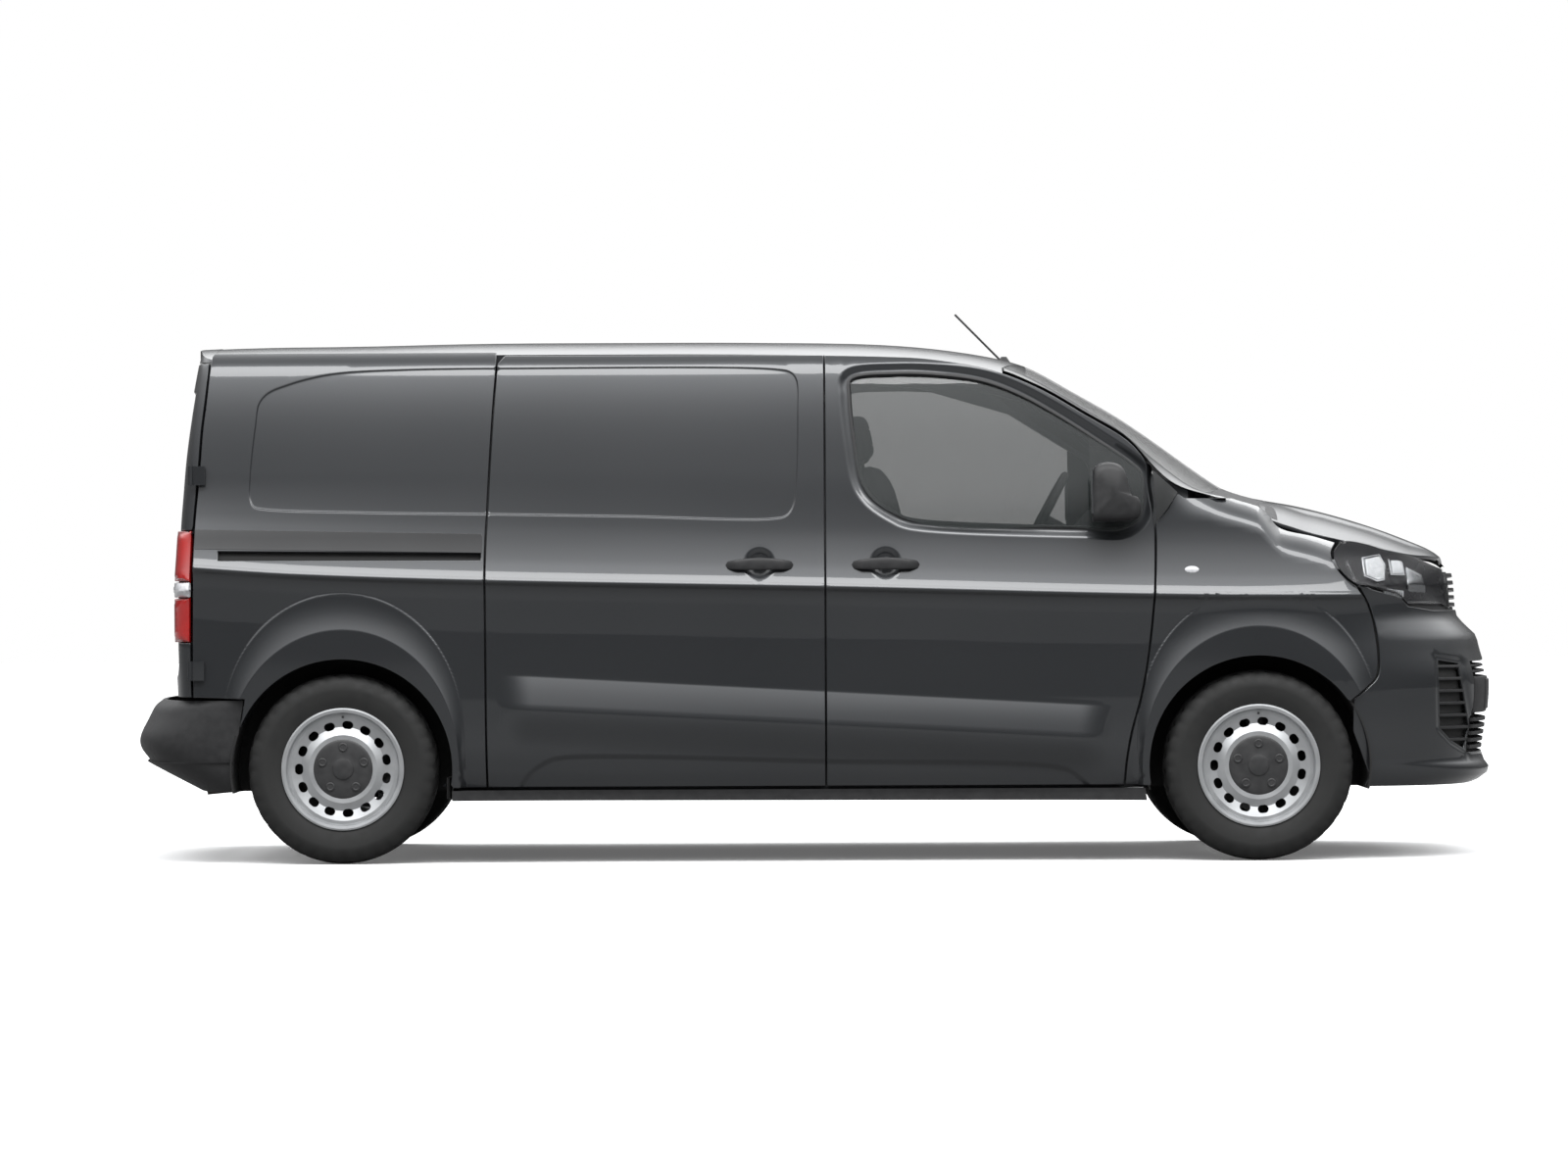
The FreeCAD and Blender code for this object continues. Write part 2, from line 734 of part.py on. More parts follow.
def blind_panel(side, shares, x0, x1):
    """The shallow pressing where a window would be, as a cutter."""
    face = polygon(along(shares))
    skim = side_slab(side, x0, x1, height * 0.62, height * 0.96, 12, 18, skim=-overlap,
                     depth=overlap + blind_depth)
    return skim.common(side_prism(face, side, half_width * 0.5))


overlap = 20.0
slide_face = outline([
    [V(split_x, 0, sill_z), V(split_x, 0, slide_corner.z - half_gap)],
    [V(split_x, 0, slide_corner.z - half_gap), slide_corner],
    [slide_corner, slide_rear[0]],
    slide_rear,
    [slide_rear[-1], V(split_x, 0, sill_z)],
], -half_gap)
wall = side_slab(RIGHT, half_length * -0.485, half_length * 0.02, sill_z, side_top, 14, None)
slide_door = wall.common(side_prism(slide_face, RIGHT, half_width * 0.5))
slide_handle_x = half_length * -0.082
face = side_half(slide_handle_x, handle_z)
slide_handle = bar_handle(RIGHT, slide_handle_x, handle_proud)
dish = Part.makeCone(cup_radius * 0.8, cup_radius * 1.05, cup_depth + 1.0,
                     V(slide_handle_x, -(face - cup_depth), handle_z), V(0, -1, 0))
slide_door = slide_door.cut(dish).cut(slide_handle).cut(roof_room)
slide_blind = blind_panel(RIGHT, slide_blind_shares, half_length * -0.47, half_length * -0.02)
slide_door = slide_door.cut(slide_blind)
node("sliding_door", slide_door)
node("sliding_door_handle", slide_handle)

bumper_edge = V(half_length * -0.822, 0, height * 0.313)
bumper_foot = V(half_length * -0.843, 0, sill_z)
roof_end = V(half_length * -0.870, 0, height * 0.975)


def quarter_face(front):
    top = V(front[0].x, 0, roof_end.z)
    return outline([
        [top, front[0]], front, [front[-1], bumper_foot], [bumper_foot, bumper_edge],
        [bumper_edge, rear_gap[-1]], list(reversed(rear_gap)), [rear_gap[0], roof_end],
        [roof_end, top],
    ], -half_gap)


quarters = []
for name, side in SIDES:
    front = slide_rear if side == RIGHT else [V(split_x, 0, height * 0.966), V(split_x, 0, sill_z)]
    panel_face = quarter_face(front)
    wall = side_slab(side, half_length * -0.905, front[0].x + 20.0, sill_z, side_top, 24, None)
    shell = wall.common(side_prism(panel_face, side, half_width * 0.5)).cut(arches)
    if side == RIGHT:
        slot = block(half_length * -0.858, half_length * -0.480, -far, -side_half(0, height * 0.59) + 22.0,
                     height * 0.580, height * 0.592)
        shell = shell.cut(slot)
    shell = largest(shell.cut(roof))
    shell = shell.cut(blind_panel(side, rear_blind_shares, half_length * -0.83, half_length * -0.48))
    if side == LEFT:
        shell = shell.cut(blind_panel(side, slide_blind_shares, half_length * -0.47, half_length * -0.02))
    shell = largest(shell)
    quarters.append(shell)
    node("quarter_panel_" + name, shell)

# Rear header, over the rear doors

def tail_tip(t, z):
    return half_length * curve(rear_edge_shares, z / height)


def tail_width(z):
    return half_width * curve(section_shares, z / height) - tail_tuck


full_turns = steps(-1.0, 1.0, 17)
door_wall = 48.0
header = wrap_slab(-1, tail_plan_shares, tail_tip, header_low - overlap, height + overlap, full_turns, 5,
                   door_wall + 12.0, tail_width)
header_inner = block(-far, half_length * -0.870, -half_width * 0.79, half_width * 0.79, header_low, far)
under_roof = top_slab(half_length * -0.94, half_length * -0.80, half_width * 0.82, 4, 9, far / 4)
header = header.common(header_inner).common(under_roof).cut([roof] + quarters)
header = largest(header)
lamp_z = height * 0.968
lamp_reach = half_width * 0.16
lamp_x = -(tail_tip(0, lamp_z) + 10.0)
high_lamp = block(lamp_x, lamp_x + 34.0, -lamp_reach, lamp_reach, lamp_z - 11.0, lamp_z + 11.0)
high_lamp = largest(high_lamp.makeFillet(5.0, high_lamp.Edges).cut(roof))
header = largest(header.cut(high_lamp))
node("rear_header", header)
node("high_brake_lamp", high_lamp)

# Side frames: pillars, cantrails and sills

frame_shallow = 7.0
hinge_room = 44.0
frame_deep = 62.0
frame_front = half_length * 0.535
cab_rear = half_length * 0.050
cab_opening = polygon([
    V(cab_rear, 0, height * 0.24), V(cab_rear, 0, height * 0.935), V(half_length * 0.160, 0, height * 0.925),
    V(half_length * 0.300, 0, height * 0.872), V(half_length * 0.420, 0, height * 0.775),
    V(half_length * 0.440, 0, height * 0.700), V(half_length * 0.440, 0, height * 0.330),
    V(half_length * 0.400, 0, height * 0.240),
])
slide_opening = polygon([
    V(half_length * -0.450, 0, height * 0.24), V(half_length * -0.450, 0, height * 0.935),
    V(half_length * -0.025, 0, height * 0.935), V(half_length * -0.025, 0, height * 0.24),
])
sill_top = height * 0.139
frames = []
for name, side in SIDES:
    front_x = frame_front
    rear_x = half_length * -0.50 if side == RIGHT else half_length * -0.03
    frame = lining_slab(side, rear_x, front_x, sill_top, height * 0.962, 9, 9, frame_shallow,
                        frame_deep)
    frame = frame.cut(side_prism(cab_opening, side, 0))
    frame = frame.cut(side_prism(slide_opening, side, 0))
    under_screen = polygon([
        V(half_length * 0.250, 0, height * 0.930), V(half_length * 0.476, 0, height * 0.740),
        V(half_length * 0.600, 0, height * 0.660), V(half_length * 0.600, 0, height * 1.1),
        V(half_length * 0.250, 0, height * 1.1),
    ])
    frame = frame.cut(side_prism(under_screen, side, 0)).cut(arches)
    pin = V(door_pin_x, side * door_pin_y, 0)
    frame = frame.cut(Part.makeCylinder(door_nose_radius + hinge_room, height * 0.78, pin))
    frame = largest(frame.cut(pillars + [roof]))
    frames.append(frame)
    node("side_frame_" + name, frame)

# Front wings

wing_wall = 8.0
wing_top = along(bonnet_side_shares)
lamp_back = along(lamp_back_shares)
wing_bumper = along(wing_bumper_shares)
lower_wing = wing_gap[2:]
corner_glass = along(corner_glass_shares)
corner_face = polygon([V(lower_wing[0].x + gap, 0, lower_wing[0].z + gap), corner_glass[2] + V(0, 0, half_gap),
                       corner_glass[1] + V(0, 0, half_gap), V(corner_glass[0].x + gap, 0, corner_glass[0].z)])
cowl_corner = V(half_length * 0.600, 0, wing_top_z)
glass_corner = V(half_length * 0.530, 0, wing_top_z)
wing_face = outline([
    lower_wing,
    [lower_wing[-1], V(front_axle, 0, sill_z)],
    [V(front_axle, 0, sill_z), wing_bumper[-1]],
    list(reversed(wing_bumper)),
    list(reversed(lamp_back)),
    list(reversed(wing_top)),
    [wing_top[0], cowl_corner],
    [cowl_corner, glass_corner],
    [glass_corner, corner_glass[1], corner_glass[2], corner_glass[3], lower_wing[0]],
], -half_gap)
wings, corner_panes = [], []
for name, side in SIDES:
    wall = side_slab(side, half_length * 0.435, half_length * 0.812, sill_z, height * 0.692, 24, None,
                     depth=wing_wall)
    wall = wall.common(side_prism(wing_face, side, half_width * 0.4))
    wings.append(largest(wall.cut(arches)))
    pane = side_slab(side, half_length * 0.475, half_length * 0.525, height * 0.63, height * 0.76, 5, 5,
                     skim=half_gap, depth=glass_depth)
    pane = pane.common(side_prism(corner_face, side, half_width * 0.5)).cut([wings[-1], pillars[0], pillars[1]])
    corner_panes.append(largest(pane))
pair("wings", wings)
pair("corner_glass", corner_panes)

# Nose: bumper, grille, headlamps and bonnet


def nose_tip(t, z):
    middle = half_length * curve(bumper_nose_shares, z / height)
    corner = half_length * curve(corner_nose_shares, z / height)
    return middle + (corner - middle) * t * t


bumper_wall = 10.0
bumper_low = height * 0.137
chin = height * 0.474
bumper_face = outline([
    [V(half_length * 1.02, 0, bumper_low), V(half_length * 1.02, 0, chin)],
    [V(half_length * 1.02, 0, chin), V(half_length * 0.930, 0, chin)],
    [V(half_length * 0.930, 0, chin), V(half_length * 0.854, 0, height * 0.482)],
    list(reversed(along(lamp_low_shares)[:5])),
    wing_bumper,
    [wing_bumper[-1], V(front_axle + arch_radius * 0.6, 0, bumper_low)],
    [V(front_axle + arch_radius * 0.6, 0, bumper_low), V(half_length * 1.02, 0, bumper_low)],
], -half_gap)
bumper_prism = bumper_face.translated(V(0, -far, 0)).extrude(V(0, far * 2, 0))
bumper = wrap_slab(1, nose_plan_shares, nose_tip, bumper_low - overlap, height * 0.535, steps(-0.95, 0.95, 31), 20,
                   bumper_wall)
grille_half = half_width * 0.66
mouth_low = height * 0.200
mouth_high = height * 0.375
mouth = block(half_length * 0.80, far, -grille_half, grille_half, mouth_low, mouth_high)
bumper = bumper.common(bumper_prism).cut(arches)
bumper_solid = largest(bumper.cut([mouth] + wings))
node("front_bumper", bumper_solid)

bar_count = 7
bar_height = 9.0
bars = []
mouth_skin = wrap_slab(1, nose_plan_shares, nose_tip, mouth_low - overlap, mouth_high + overlap,
                       steps(-0.62, 0.62, 13), 5, 22.0)
mouth_skin = mouth_skin.common(mouth)
for z in steps(mouth_low + bar_height, mouth_high - bar_height, bar_count):
    bars.append(mouth_skin.common(block(0, far, -far, far, z - bar_height / 2, z + bar_height / 2)))
for y in (-half_width * 0.45, 0, half_width * 0.45):
    x = nose_tip(0, (mouth_low + mouth_high) / 2) - half_length * 0.055
    bars.append(block(x, x + half_length * 0.045, y - 6.0, y + 6.0, mouth_low, mouth_high))
lower_grille = bars[0].fuse(bars[1:]).cut(bumper_solid)
node("lower_grille", lower_grille)

lamp_high = height * 0.612
lamp_inner = half_width * 0.60
lamp_depth = 70.0
lamp_low = along(lamp_low_shares)
lamp_face = outline([
    lamp_back, lamp_low[:5], lamp_low[4:],
    [lamp_low[-1], along(lamp_top_shares)[-1]],
    list(reversed(along(lamp_top_shares))),
], -half_gap)
nose_skin = wrap_slab(1, nose_plan_shares, nose_tip, chin - overlap, lamp_high + overlap, steps(-0.92, 0.92, 31), 9, lamp_depth)
grille_top = height * 0.548
grille_slot = 24.0
grille_slots = 4
grille_slab = wrap_slab(1, nose_plan_shares, nose_tip, chin - overlap, grille_top + overlap,
                        steps(-0.62, 0.62, 13), 5, 30.0)
grille_box = block(0, far, -(lamp_inner - gap), lamp_inner - gap, chin + half_gap, grille_top)
upper_grille = grille_slab.common(grille_box)
slots = []
for z in steps(chin + grille_slot, grille_top - grille_slot * 1.5, grille_slots):
    slots.append(block(nose_tip(0, z) - grille_slot * 0.75, far, -(lamp_inner - grille_slot),
                       lamp_inner - grille_slot, z - grille_slot / 4, z + grille_slot / 4))
upper_grille = largest(upper_grille.cut(slots))
node("upper_grille", upper_grille)

bonnet_depth = 22.0
bonnet_rear = half_length * 0.645
bonnet_nose = half_length * 0.938


def bonnet_side(x):
    """Half width of the bonnet at x, on the line where the wing's shoulder meets it."""
    z = height * curve(bonnet_line_shares, x / half_length)
    return min(side_half(x, z), half_width * 0.84)


def bonnet_slab(above, below, grow):
    """The bonnet, or with grow the room that it needs round it."""
    outer, inner = [], []
    for x in steps(bonnet_rear - grow, bonnet_nose + grow, 14):
        rim, core = [], []
        for share in steps(-1.0, 1.0, 15):
            swept = x - sweep_back * 0.6 * share * share * ease((x / half_length - 0.85) / 0.09)
            y = share * (bonnet_side(swept) - gap + grow)
            z = top_height(swept, y)
            rim.append(V(swept, y, z + above))
            core.append(V(swept, y, z - below))
        outer.append(rim)
        inner.append(core)
    return slab(outer, inner)


bonnet_round = rod(bonnet_sweep + gap, V(bonnet_pin_x, -far, bonnet_pin_z), V(bonnet_pin_x, far, bonnet_pin_z))
node("bonnet", largest(bonnet_slab(0.0, bonnet_depth, 0.0).cut([bonnet_round] + wings)))
bonnet_room = bonnet_slab(bonnet_depth * 2, bonnet_depth + gap, gap)
lamps = []
for name, side in SIDES:
    lamp = nose_skin.common(side_prism(lamp_face, side, lamp_inner)).cut([bonnet_room, bumper_solid])
    lamps.append(largest(lamp))
pair("headlamps", lamps)

# Cowl with wipers

cowl_depth = 40.0
cowl = top_slab(screen_foot - screen_sweep - 30.0, bonnet_rear + 60.0, half_width * 0.80, 8, 9, cowl_depth)
cowl = cowl.cut(screen_prism)
sweep = rod(bonnet_sweep, V(bonnet_pin_x, -far, bonnet_pin_z), V(bonnet_pin_x, far, bonnet_pin_z))
behind = block(0, bonnet_pin_x + 45.0, -far, far, 0, far)
cowl = cowl.common(sweep.fuse(behind)).cut(pillars)
node("cowl", largest(cowl))

# Rear doors, lamps and bumper

rear_low = height * 0.318
lamp_low_z = height * 0.421
lamp_high_z = height * 0.635
lamp_circle = 108.0
door_circle = 113.5
door_turns = steps(0.002, 1.0, 13)
rear_top = header_low - gap
rear_side_face = outline([
    [V(-far, 0, rear_low), V(-far, 0, rear_top)],
    [V(-far, 0, rear_top), V(rear_gap[0].x, 0, rear_top)],
    [V(rear_gap[0].x, 0, rear_top), rear_gap[1]],
    rear_gap[1:-1] + [V(rear_gap[-1].x, 0, rear_low)],
    [V(rear_gap[-1].x, 0, rear_low), V(-far, 0, rear_low)],
], 0)
centre_gap = 8.0
tail_lamps, hinges = [], []
hinge_radius = 9.0
hinge_reach = 34.0
arm_length = 50.0
arm_clear = 6.0
post_start = 34.0
post_sunk = 6.0
for name, side in SIDES:
    turns = [side * turn for turn in door_turns]
    shell = wrap_slab(-1, tail_plan_shares, tail_tip, rear_low - overlap, header_low + overlap, turns, 20,
                      door_wall, tail_width)
    cutter = rear_side_face.translated(V(-gap, 0, 0)).translated(V(0, -far, 0)).extrude(V(0, far * 2, 0))
    shell = shell.common(cutter)
    shell = shell.common(block(-far, 0, side * centre_gap / 2, side * far, rear_low, rear_top))
    low_point, high_point = rear_pin(side, lamp_low_z), rear_pin(side, lamp_high_z)
    well = rod(door_circle, low_point, high_point)
    bay = block(-far, 0, side * half_width * 0.5, side * far, lamp_low_z, lamp_high_z)
    around = well.common(bay)
    shell = shell.cut(around)
    for z in (hinge_low, hinge_high):
        foot, head = rear_pin(side, z - hinge_reach), rear_pin(side, z + hinge_reach)
        pin = rear_pin(side, z)
        hinge_top, hinge_foot = abs(pin.y), abs(pin.y) - pin_proud
        arm = block(pin.x, pin.x + arm_length, side * (hinge_foot + arm_clear), side * hinge_top,
                    z - hinge_reach, z + hinge_reach)
        post = block(pin.x + post_start, pin.x + arm_length, side * (hinge_foot - post_sunk), side * hinge_top,
                     z - hinge_reach, z + hinge_reach)
        hinges.append(largest(rod(hinge_radius, foot, head).fuse(arm).fuse(post).cut(quarters)))
        shell = shell.cut(rod(hinge_radius + gap, rear_pin(side, z - hinge_reach - gap),
                              rear_pin(side, z + hinge_reach + gap)))
    node("rear_door_" + name, largest(shell.cut(roof_room)))
    lamp_skin = wrap_slab(-1, tail_plan_shares, lambda t, z: tail_tip(t, z) + 8.0 * ease(t * 2),
                          lamp_low_z - overlap, lamp_high_z + overlap, turns, 8, door_wall + 10.0, tail_width)
    lamp = lamp_skin.common(rod(lamp_circle, low_point, high_point))
    lamp = lamp.common(block(-far, rear_gap[-2].x, side * half_width * 0.5, side * far,
                             lamp_low_z + half_gap, lamp_high_z - half_gap))
    tail_lamps.append(largest(lamp))
pair("tail_lamps", tail_lamps)
pair("rear_hinges", hinges)

rear_bumper_face = outline([[
    V(half_length * -0.822, 0, height * 0.313), V(half_length * -0.843, 0, height * 0.135)],
    [V(half_length * -0.843, 0, height * 0.135), V(-far, 0, height * 0.135)],
    [V(-far, 0, height * 0.135), V(-far, 0, height * 0.313)],
    [V(-far, 0, height * 0.313), V(half_length * -0.822, 0, height * 0.313)],
], -half_gap)


def bumper_tail_tip(t, z):
    middle = half_length * curve(rear_bumper_nose_shares, z / height)
    return middle - half_length * 0.030 * t * t


rear_bumper = wrap_slab(-1, rear_bumper_plan_shares, bumper_tail_tip, height * 0.150, height * 0.325,
                        full_turns, 9, 14.0, tail_width)
cutter = rear_bumper_face.translated(V(0, -far, 0)).extrude(V(0, far * 2, 0))
rear_bumper = largest(rear_bumper.common(cutter).cut([arches] + quarters))
node("rear_bumper", rear_bumper)

# Floor, bulkhead, wheel boxes and dash

floor_z = height * 0.285
floor_wall = 28.0
floor_half = half_width * 0.83
cab_floor_z = height * 0.235
floor = block(half_length * -0.893, half_length * 0.02, -floor_half, floor_half, floor_z - floor_wall, floor_z)
cab_floor = block(half_length * 0.02, half_length * 0.470, -floor_half, floor_half,
                  cab_floor_z - floor_wall, cab_floor_z)
riser = block(half_length * 0.02 - floor_wall, half_length * 0.02, -floor_half, floor_half,
              cab_floor_z - floor_wall, floor_z - 8.0)
rail_y = half_width * 0.42
rail_wide = 60.0
rail_top = cab_floor_z - floor_wall
rail_low = rail_top - 90.0
rails = []
for side in (RIGHT, LEFT):
    rails.append(block(half_length * -0.87, half_length * 0.40, side * rail_y, side * (rail_y + rail_wide),
                       rail_low, rail_top))
    rails.append(block(half_length * -0.87, half_length * 0.02, side * rail_y, side * (rail_y + rail_wide),
                       rail_top, floor_z - floor_wall))
box_wall = 6.0
box_half = liner_radius + box_wall
well_inner = half_width * 0.66
rear_well = rod(box_half, V(rear_axle, -far, axle_height), V(rear_axle, far, axle_height))
centre_strip = block(-far, far, -well_inner, well_inner, 0, far)
floor_press = 8.0
floor = floor.cut(block(-far, far, -far, far, floor_z - floor_press, far))
raised = block(half_length * -0.880, half_length * -0.030, half_width * -0.58, half_width * 0.58,
               floor_z - floor_press, floor_z)
floor = floor.fuse([cab_floor, riser, raised] + rails).cut(rear_well.cut(centre_strip))
front_well = rod(liner_radius + 60.0, V(front_axle, -far, axle_height), V(front_axle, far, axle_height))
floor = floor.cut(front_well)
node("floor", floor)

bulkhead_x = half_length * -0.010
bulkhead_wall = 22.0
arch_line = []
for z in steps(floor_z - floor_press, height * 0.955, 9):
    arch_line.append(V(bulkhead_x, lining_half(bulkhead_x, z) - frame_deep, z))
top_y = arch_line[-1].y
ring_points = arch_line + [V(bulkhead_x, -p.y, p.z) for p in reversed(arch_line)]
bulkhead = polygon(ring_points).extrude(V(bulkhead_wall, 0, 0))
node("bulkhead", largest(bulkhead.cut(frames)))

seat_width = size("seat_width")
seat_y = half_width * 0.43
seats = []
for side in (RIGHT, LEFT):
    x = half_length * 0.105
    cushion = block(x + 40.0, x + 540.0, side * seat_y - seat_width / 2, side * seat_y + seat_width / 2,
                    cab_floor_z + 270.0, cab_floor_z + 410.0)
    cushion = cushion.makeFillet(35.0, cushion.Edges)
    plinth = block(x + 110.0, x + 440.0, side * seat_y - seat_width * 0.4, side * seat_y + seat_width * 0.4,
                   cab_floor_z, cab_floor_z + 300.0)
    back = block(x, x + 130.0, side * seat_y - seat_width / 2, side * seat_y + seat_width / 2,
                 cab_floor_z + 300.0, cab_floor_z + 980.0)
    back = back.makeFillet(40.0, back.Edges)
    back.rotate(V(x, 0, cab_floor_z + 300.0), V(0, 1, 0), -12)
    rest = block(x - 10.0, x + 90.0, side * seat_y - seat_width * 0.28, side * seat_y + seat_width * 0.28,
                 cab_floor_z + 960.0, cab_floor_z + 1150.0)
    rest = rest.makeFillet(30.0, rest.Edges)
    rest.rotate(V(x, 0, cab_floor_z + 300.0), V(0, 1, 0), -12)
    seats.append(cushion.fuse([plinth, back, rest]))
node("seats", Part.makeCompound(seats))

dash_profile = polygon([
    V(half_length * 0.395, 0, height * 0.52), V(half_length * 0.385, 0, height * 0.62),
    V(half_length * 0.420, 0, height * 0.675), V(half_length * 0.525, 0, height * 0.672),
    V(half_length * 0.545, 0, height * 0.640), V(half_length * 0.545, 0, height * 0.50),
    V(half_length * 0.500, 0, height * 0.42),
])
dash_half = half_width * 0.80
dash = dash_profile.translated(V(0, -dash_half, 0)).extrude(V(0, dash_half * 2, 0))

# Steering wheel and its column, on the left

wheel_hub = V(half_length * 0.345, half_width * 0.43, height * 0.655)
column_tilt = 62.0
column_dir = V(math.cos(math.radians(90 - column_tilt)), 0, -math.sin(math.radians(90 - column_tilt)))
steer_radius = 190.0
steer_rim = 14.0
hub_half = 17.0
column = rod(28.0, wheel_hub + column_dir * hub_half, wheel_hub + column_dir * 330.0)
beam_x = half_length * 0.512
beam_line = height * 0.610
cross_beam = rod(25.0, V(beam_x, -half_width * 0.97, beam_line), V(beam_x, half_width * 0.97, beam_line))
for side in (RIGHT, LEFT):
    inside = side_half(beam_x, beam_line) - 30.0
    cross_beam = cross_beam.cut(block(0, far, side * inside, side * far, 0, far))
dash = largest(dash.fuse([column, cross_beam]).cut(frames + wings))
node("dashboard", dash)
rim_ring = Part.makeTorus(steer_radius, steer_rim)
hub = Part.makeCylinder(52.0, hub_half * 2, V(0, 0, -hub_half))
spokes = []
for angle in (0, 120, 240):
    spoke = Part.makeBox(steer_radius, 34.0, 12.0, V(0, -17.0, -6.0))
    spoke.rotate(V(0, 0, 0), V(0, 0, 1), angle + 90)
    spokes.append(spoke)
steering_wheel = rim_ring.fuse([hub] + spokes)
steering_wheel.Placement = FreeCAD.Placement(wheel_hub, FreeCAD.Rotation(V(0, 0, 1), column_dir * -1))
node("steering_wheel", steering_wheel)

# Engine, underbody and axles

engine = block(half_length * 0.655, half_length * 0.870, -half_width * 0.42, half_width * 0.42,
               height * 0.20, height * 0.515)
node("engine", engine)
arm_z = axle_height - 60.0
disc_radius = 140.0
arm_top = axle_height - disc_radius - 5.0
arm_low = arm_top - 24.0
subframe = block(front_axle - 230.0, front_axle + 190.0, -rail_y, rail_y, arm_z - 30.0, arm_z + 30.0)
subframe = subframe.cut(block(front_axle - 150.0, front_axle + 110.0, -rail_y + 70.0, rail_y - 70.0, 0, far))
beams = []
for side in (RIGHT, LEFT):
    beams.append(block(half_length * 0.40, half_length * 0.930, side * rail_y, side * (rail_y + rail_wide),
                       rail_low, rail_top))
    beams.append(block(front_axle - 50.0, front_axle + 50.0, side * rail_y, side * (rail_y + 50.0),
                       arm_z - 30.0, rail_low))
    beams.append(block(front_axle - 25.0, front_axle + 25.0, side * (rail_y - 20.0),
                       side * (rail_y + 40.0), arm_low, arm_z))
    beams.append(block(front_axle - 25.0, front_axle + 25.0, side * (rail_y - 20.0),
                       side * (kingpin_y + 24.0), arm_low, arm_top))
subframe = subframe.fuse(beams)
node("front_subframe", subframe)

hub_seat = wheel_side + tyre_half * 0.516
hub_radius = 62.0
for name, side in SIDES:
    kingpin = side * kingpin_y
    post = rod(20.0, V(front_axle, kingpin, arm_top), V(front_axle, kingpin, axle_height + 120.0))
    stub = rod(hub_radius, V(front_axle, kingpin, axle_height), V(front_axle, side * hub_seat, axle_height))
    disc = rod(disc_radius, V(front_axle, side * (wheel_side - 62.0), axle_height),
               V(front_axle, side * (wheel_side - 40.0), axle_height))
    node("knuckle_" + name, post.fuse([stub, disc]))

beam_radius = 45.0
beam_z = rail_low - beam_radius - 6.0
axle_beam = rod(beam_radius, V(rear_axle + 60.0, -half_width * 0.60, beam_z),
                V(rear_axle + 60.0, half_width * 0.60, beam_z))
parts = []
for side in (RIGHT, LEFT):
    parts.append(rod(hub_radius, V(rear_axle, side * half_width * 0.55, axle_height),
                     V(rear_axle, side * hub_seat, axle_height)))
    parts.append(block(rear_axle - 45.0, rear_axle + 105.0, side * half_width * 0.57, side * half_width * 0.605,
                       beam_z - beam_radius, axle_height + 50.0))
    parts.append(rod(disc_radius, V(rear_axle, side * (wheel_side - 62.0), axle_height),
                     V(rear_axle, side * (wheel_side - 40.0), axle_height)))
    parts.append(rod(38.0, V(rear_axle + 60.0, side * (rail_y + rail_wide / 2), beam_z),
                     V(rear_axle + 60.0, side * (rail_y + rail_wide / 2), rail_low)))
node("rear_axle", axle_beam.fuse(parts))

tank = block(half_length * -0.30, half_length * 0.0, half_width * 0.08, rail_y - 12.0, height * 0.125,
             floor_z - floor_wall)
pipe = tube([V(half_length * 0.50, -half_width * 0.16, height * 0.15),
             V(half_length * -0.10, -half_width * 0.16, height * 0.15),
             V(half_length * -0.20, -half_width * 0.28, height * 0.17),
             V(half_length * -0.52, -half_width * 0.28, height * 0.17),
             V(half_length * -0.60, -half_width * 0.28, height * 0.22),
             V(half_length * -0.74, -half_width * 0.28, height * 0.22),
             V(half_length * -0.82, -half_width * 0.28, height * 0.145),
             V(half_length * -0.90, -half_width * 0.28, height * 0.135)], 24.0)
box = rod(85.0, V(half_length * -0.05, -half_width * 0.16, height * 0.15),
          V(half_length * 0.20, -half_width * 0.16, height * 0.15))
node("fuel_tank", tank)
node("exhaust", pipe.fuse(box))

# Sill covers and the rail cover

strip_face = polygon([
    V(half_length * -0.524, 0, height * 0.120), V(half_length * -0.524, 0, sill_top),
    V(half_length * 0.470, 0, sill_top), V(half_length * 0.472, 0, height * 0.116),
])
sills = []
for name, side in SIDES:
    wall = side_slab(side, half_length * -0.53, half_length * 0.49, height * 0.110, height * 0.142, 6, 4,
                     depth=90.0)
    sill = wall.common(side_prism(strip_face, side, 0)).cut([arches] + quarters + frames)
    sills.append(largest(sill))
pair("sill_covers", sills)

# Wheel boxes, trimmed to what they meet

wheel_boxes = []
box_outer = half_width * 0.955
axle_way = 175.0
axle_room = []
for side in (RIGHT, LEFT):
    axle_room.append(block(front_axle - 60.0, front_axle + 60.0, 0, side * (kingpin_y + 40.0), 0, axle_height))
    axle_room.append(block(rear_axle - 60.0, rear_axle + 115.0, 0, side * half_width * 0.70, 0, axle_height))
for axle, inner in ((rear_axle, well_inner), (front_axle, half_width * 0.545)):
    for side in (RIGHT, LEFT):
        case = rod(box_half, V(axle, side * inner, axle_height), V(axle, side * box_outer, axle_height))
        hollow = rod(liner_radius, V(axle, side * (inner + box_wall), axle_height),
                     V(axle, side * far, axle_height))
        way_in = rod(axle_way, V(axle, side * (inner - box_wall), axle_height),
                     V(axle, side * far, axle_height))
        case = case.cut([hollow, way_in])
        case = case.common(block(-far, far, -far, far, axle_height - wheel_radius * 0.25, far))
        case = case.cut(axle_room + quarters + wings + frames + [bumper_solid, rear_bumper] + sills)
        wheel_boxes.append(largest(case))
pair("wheel_boxes", wheel_boxes)

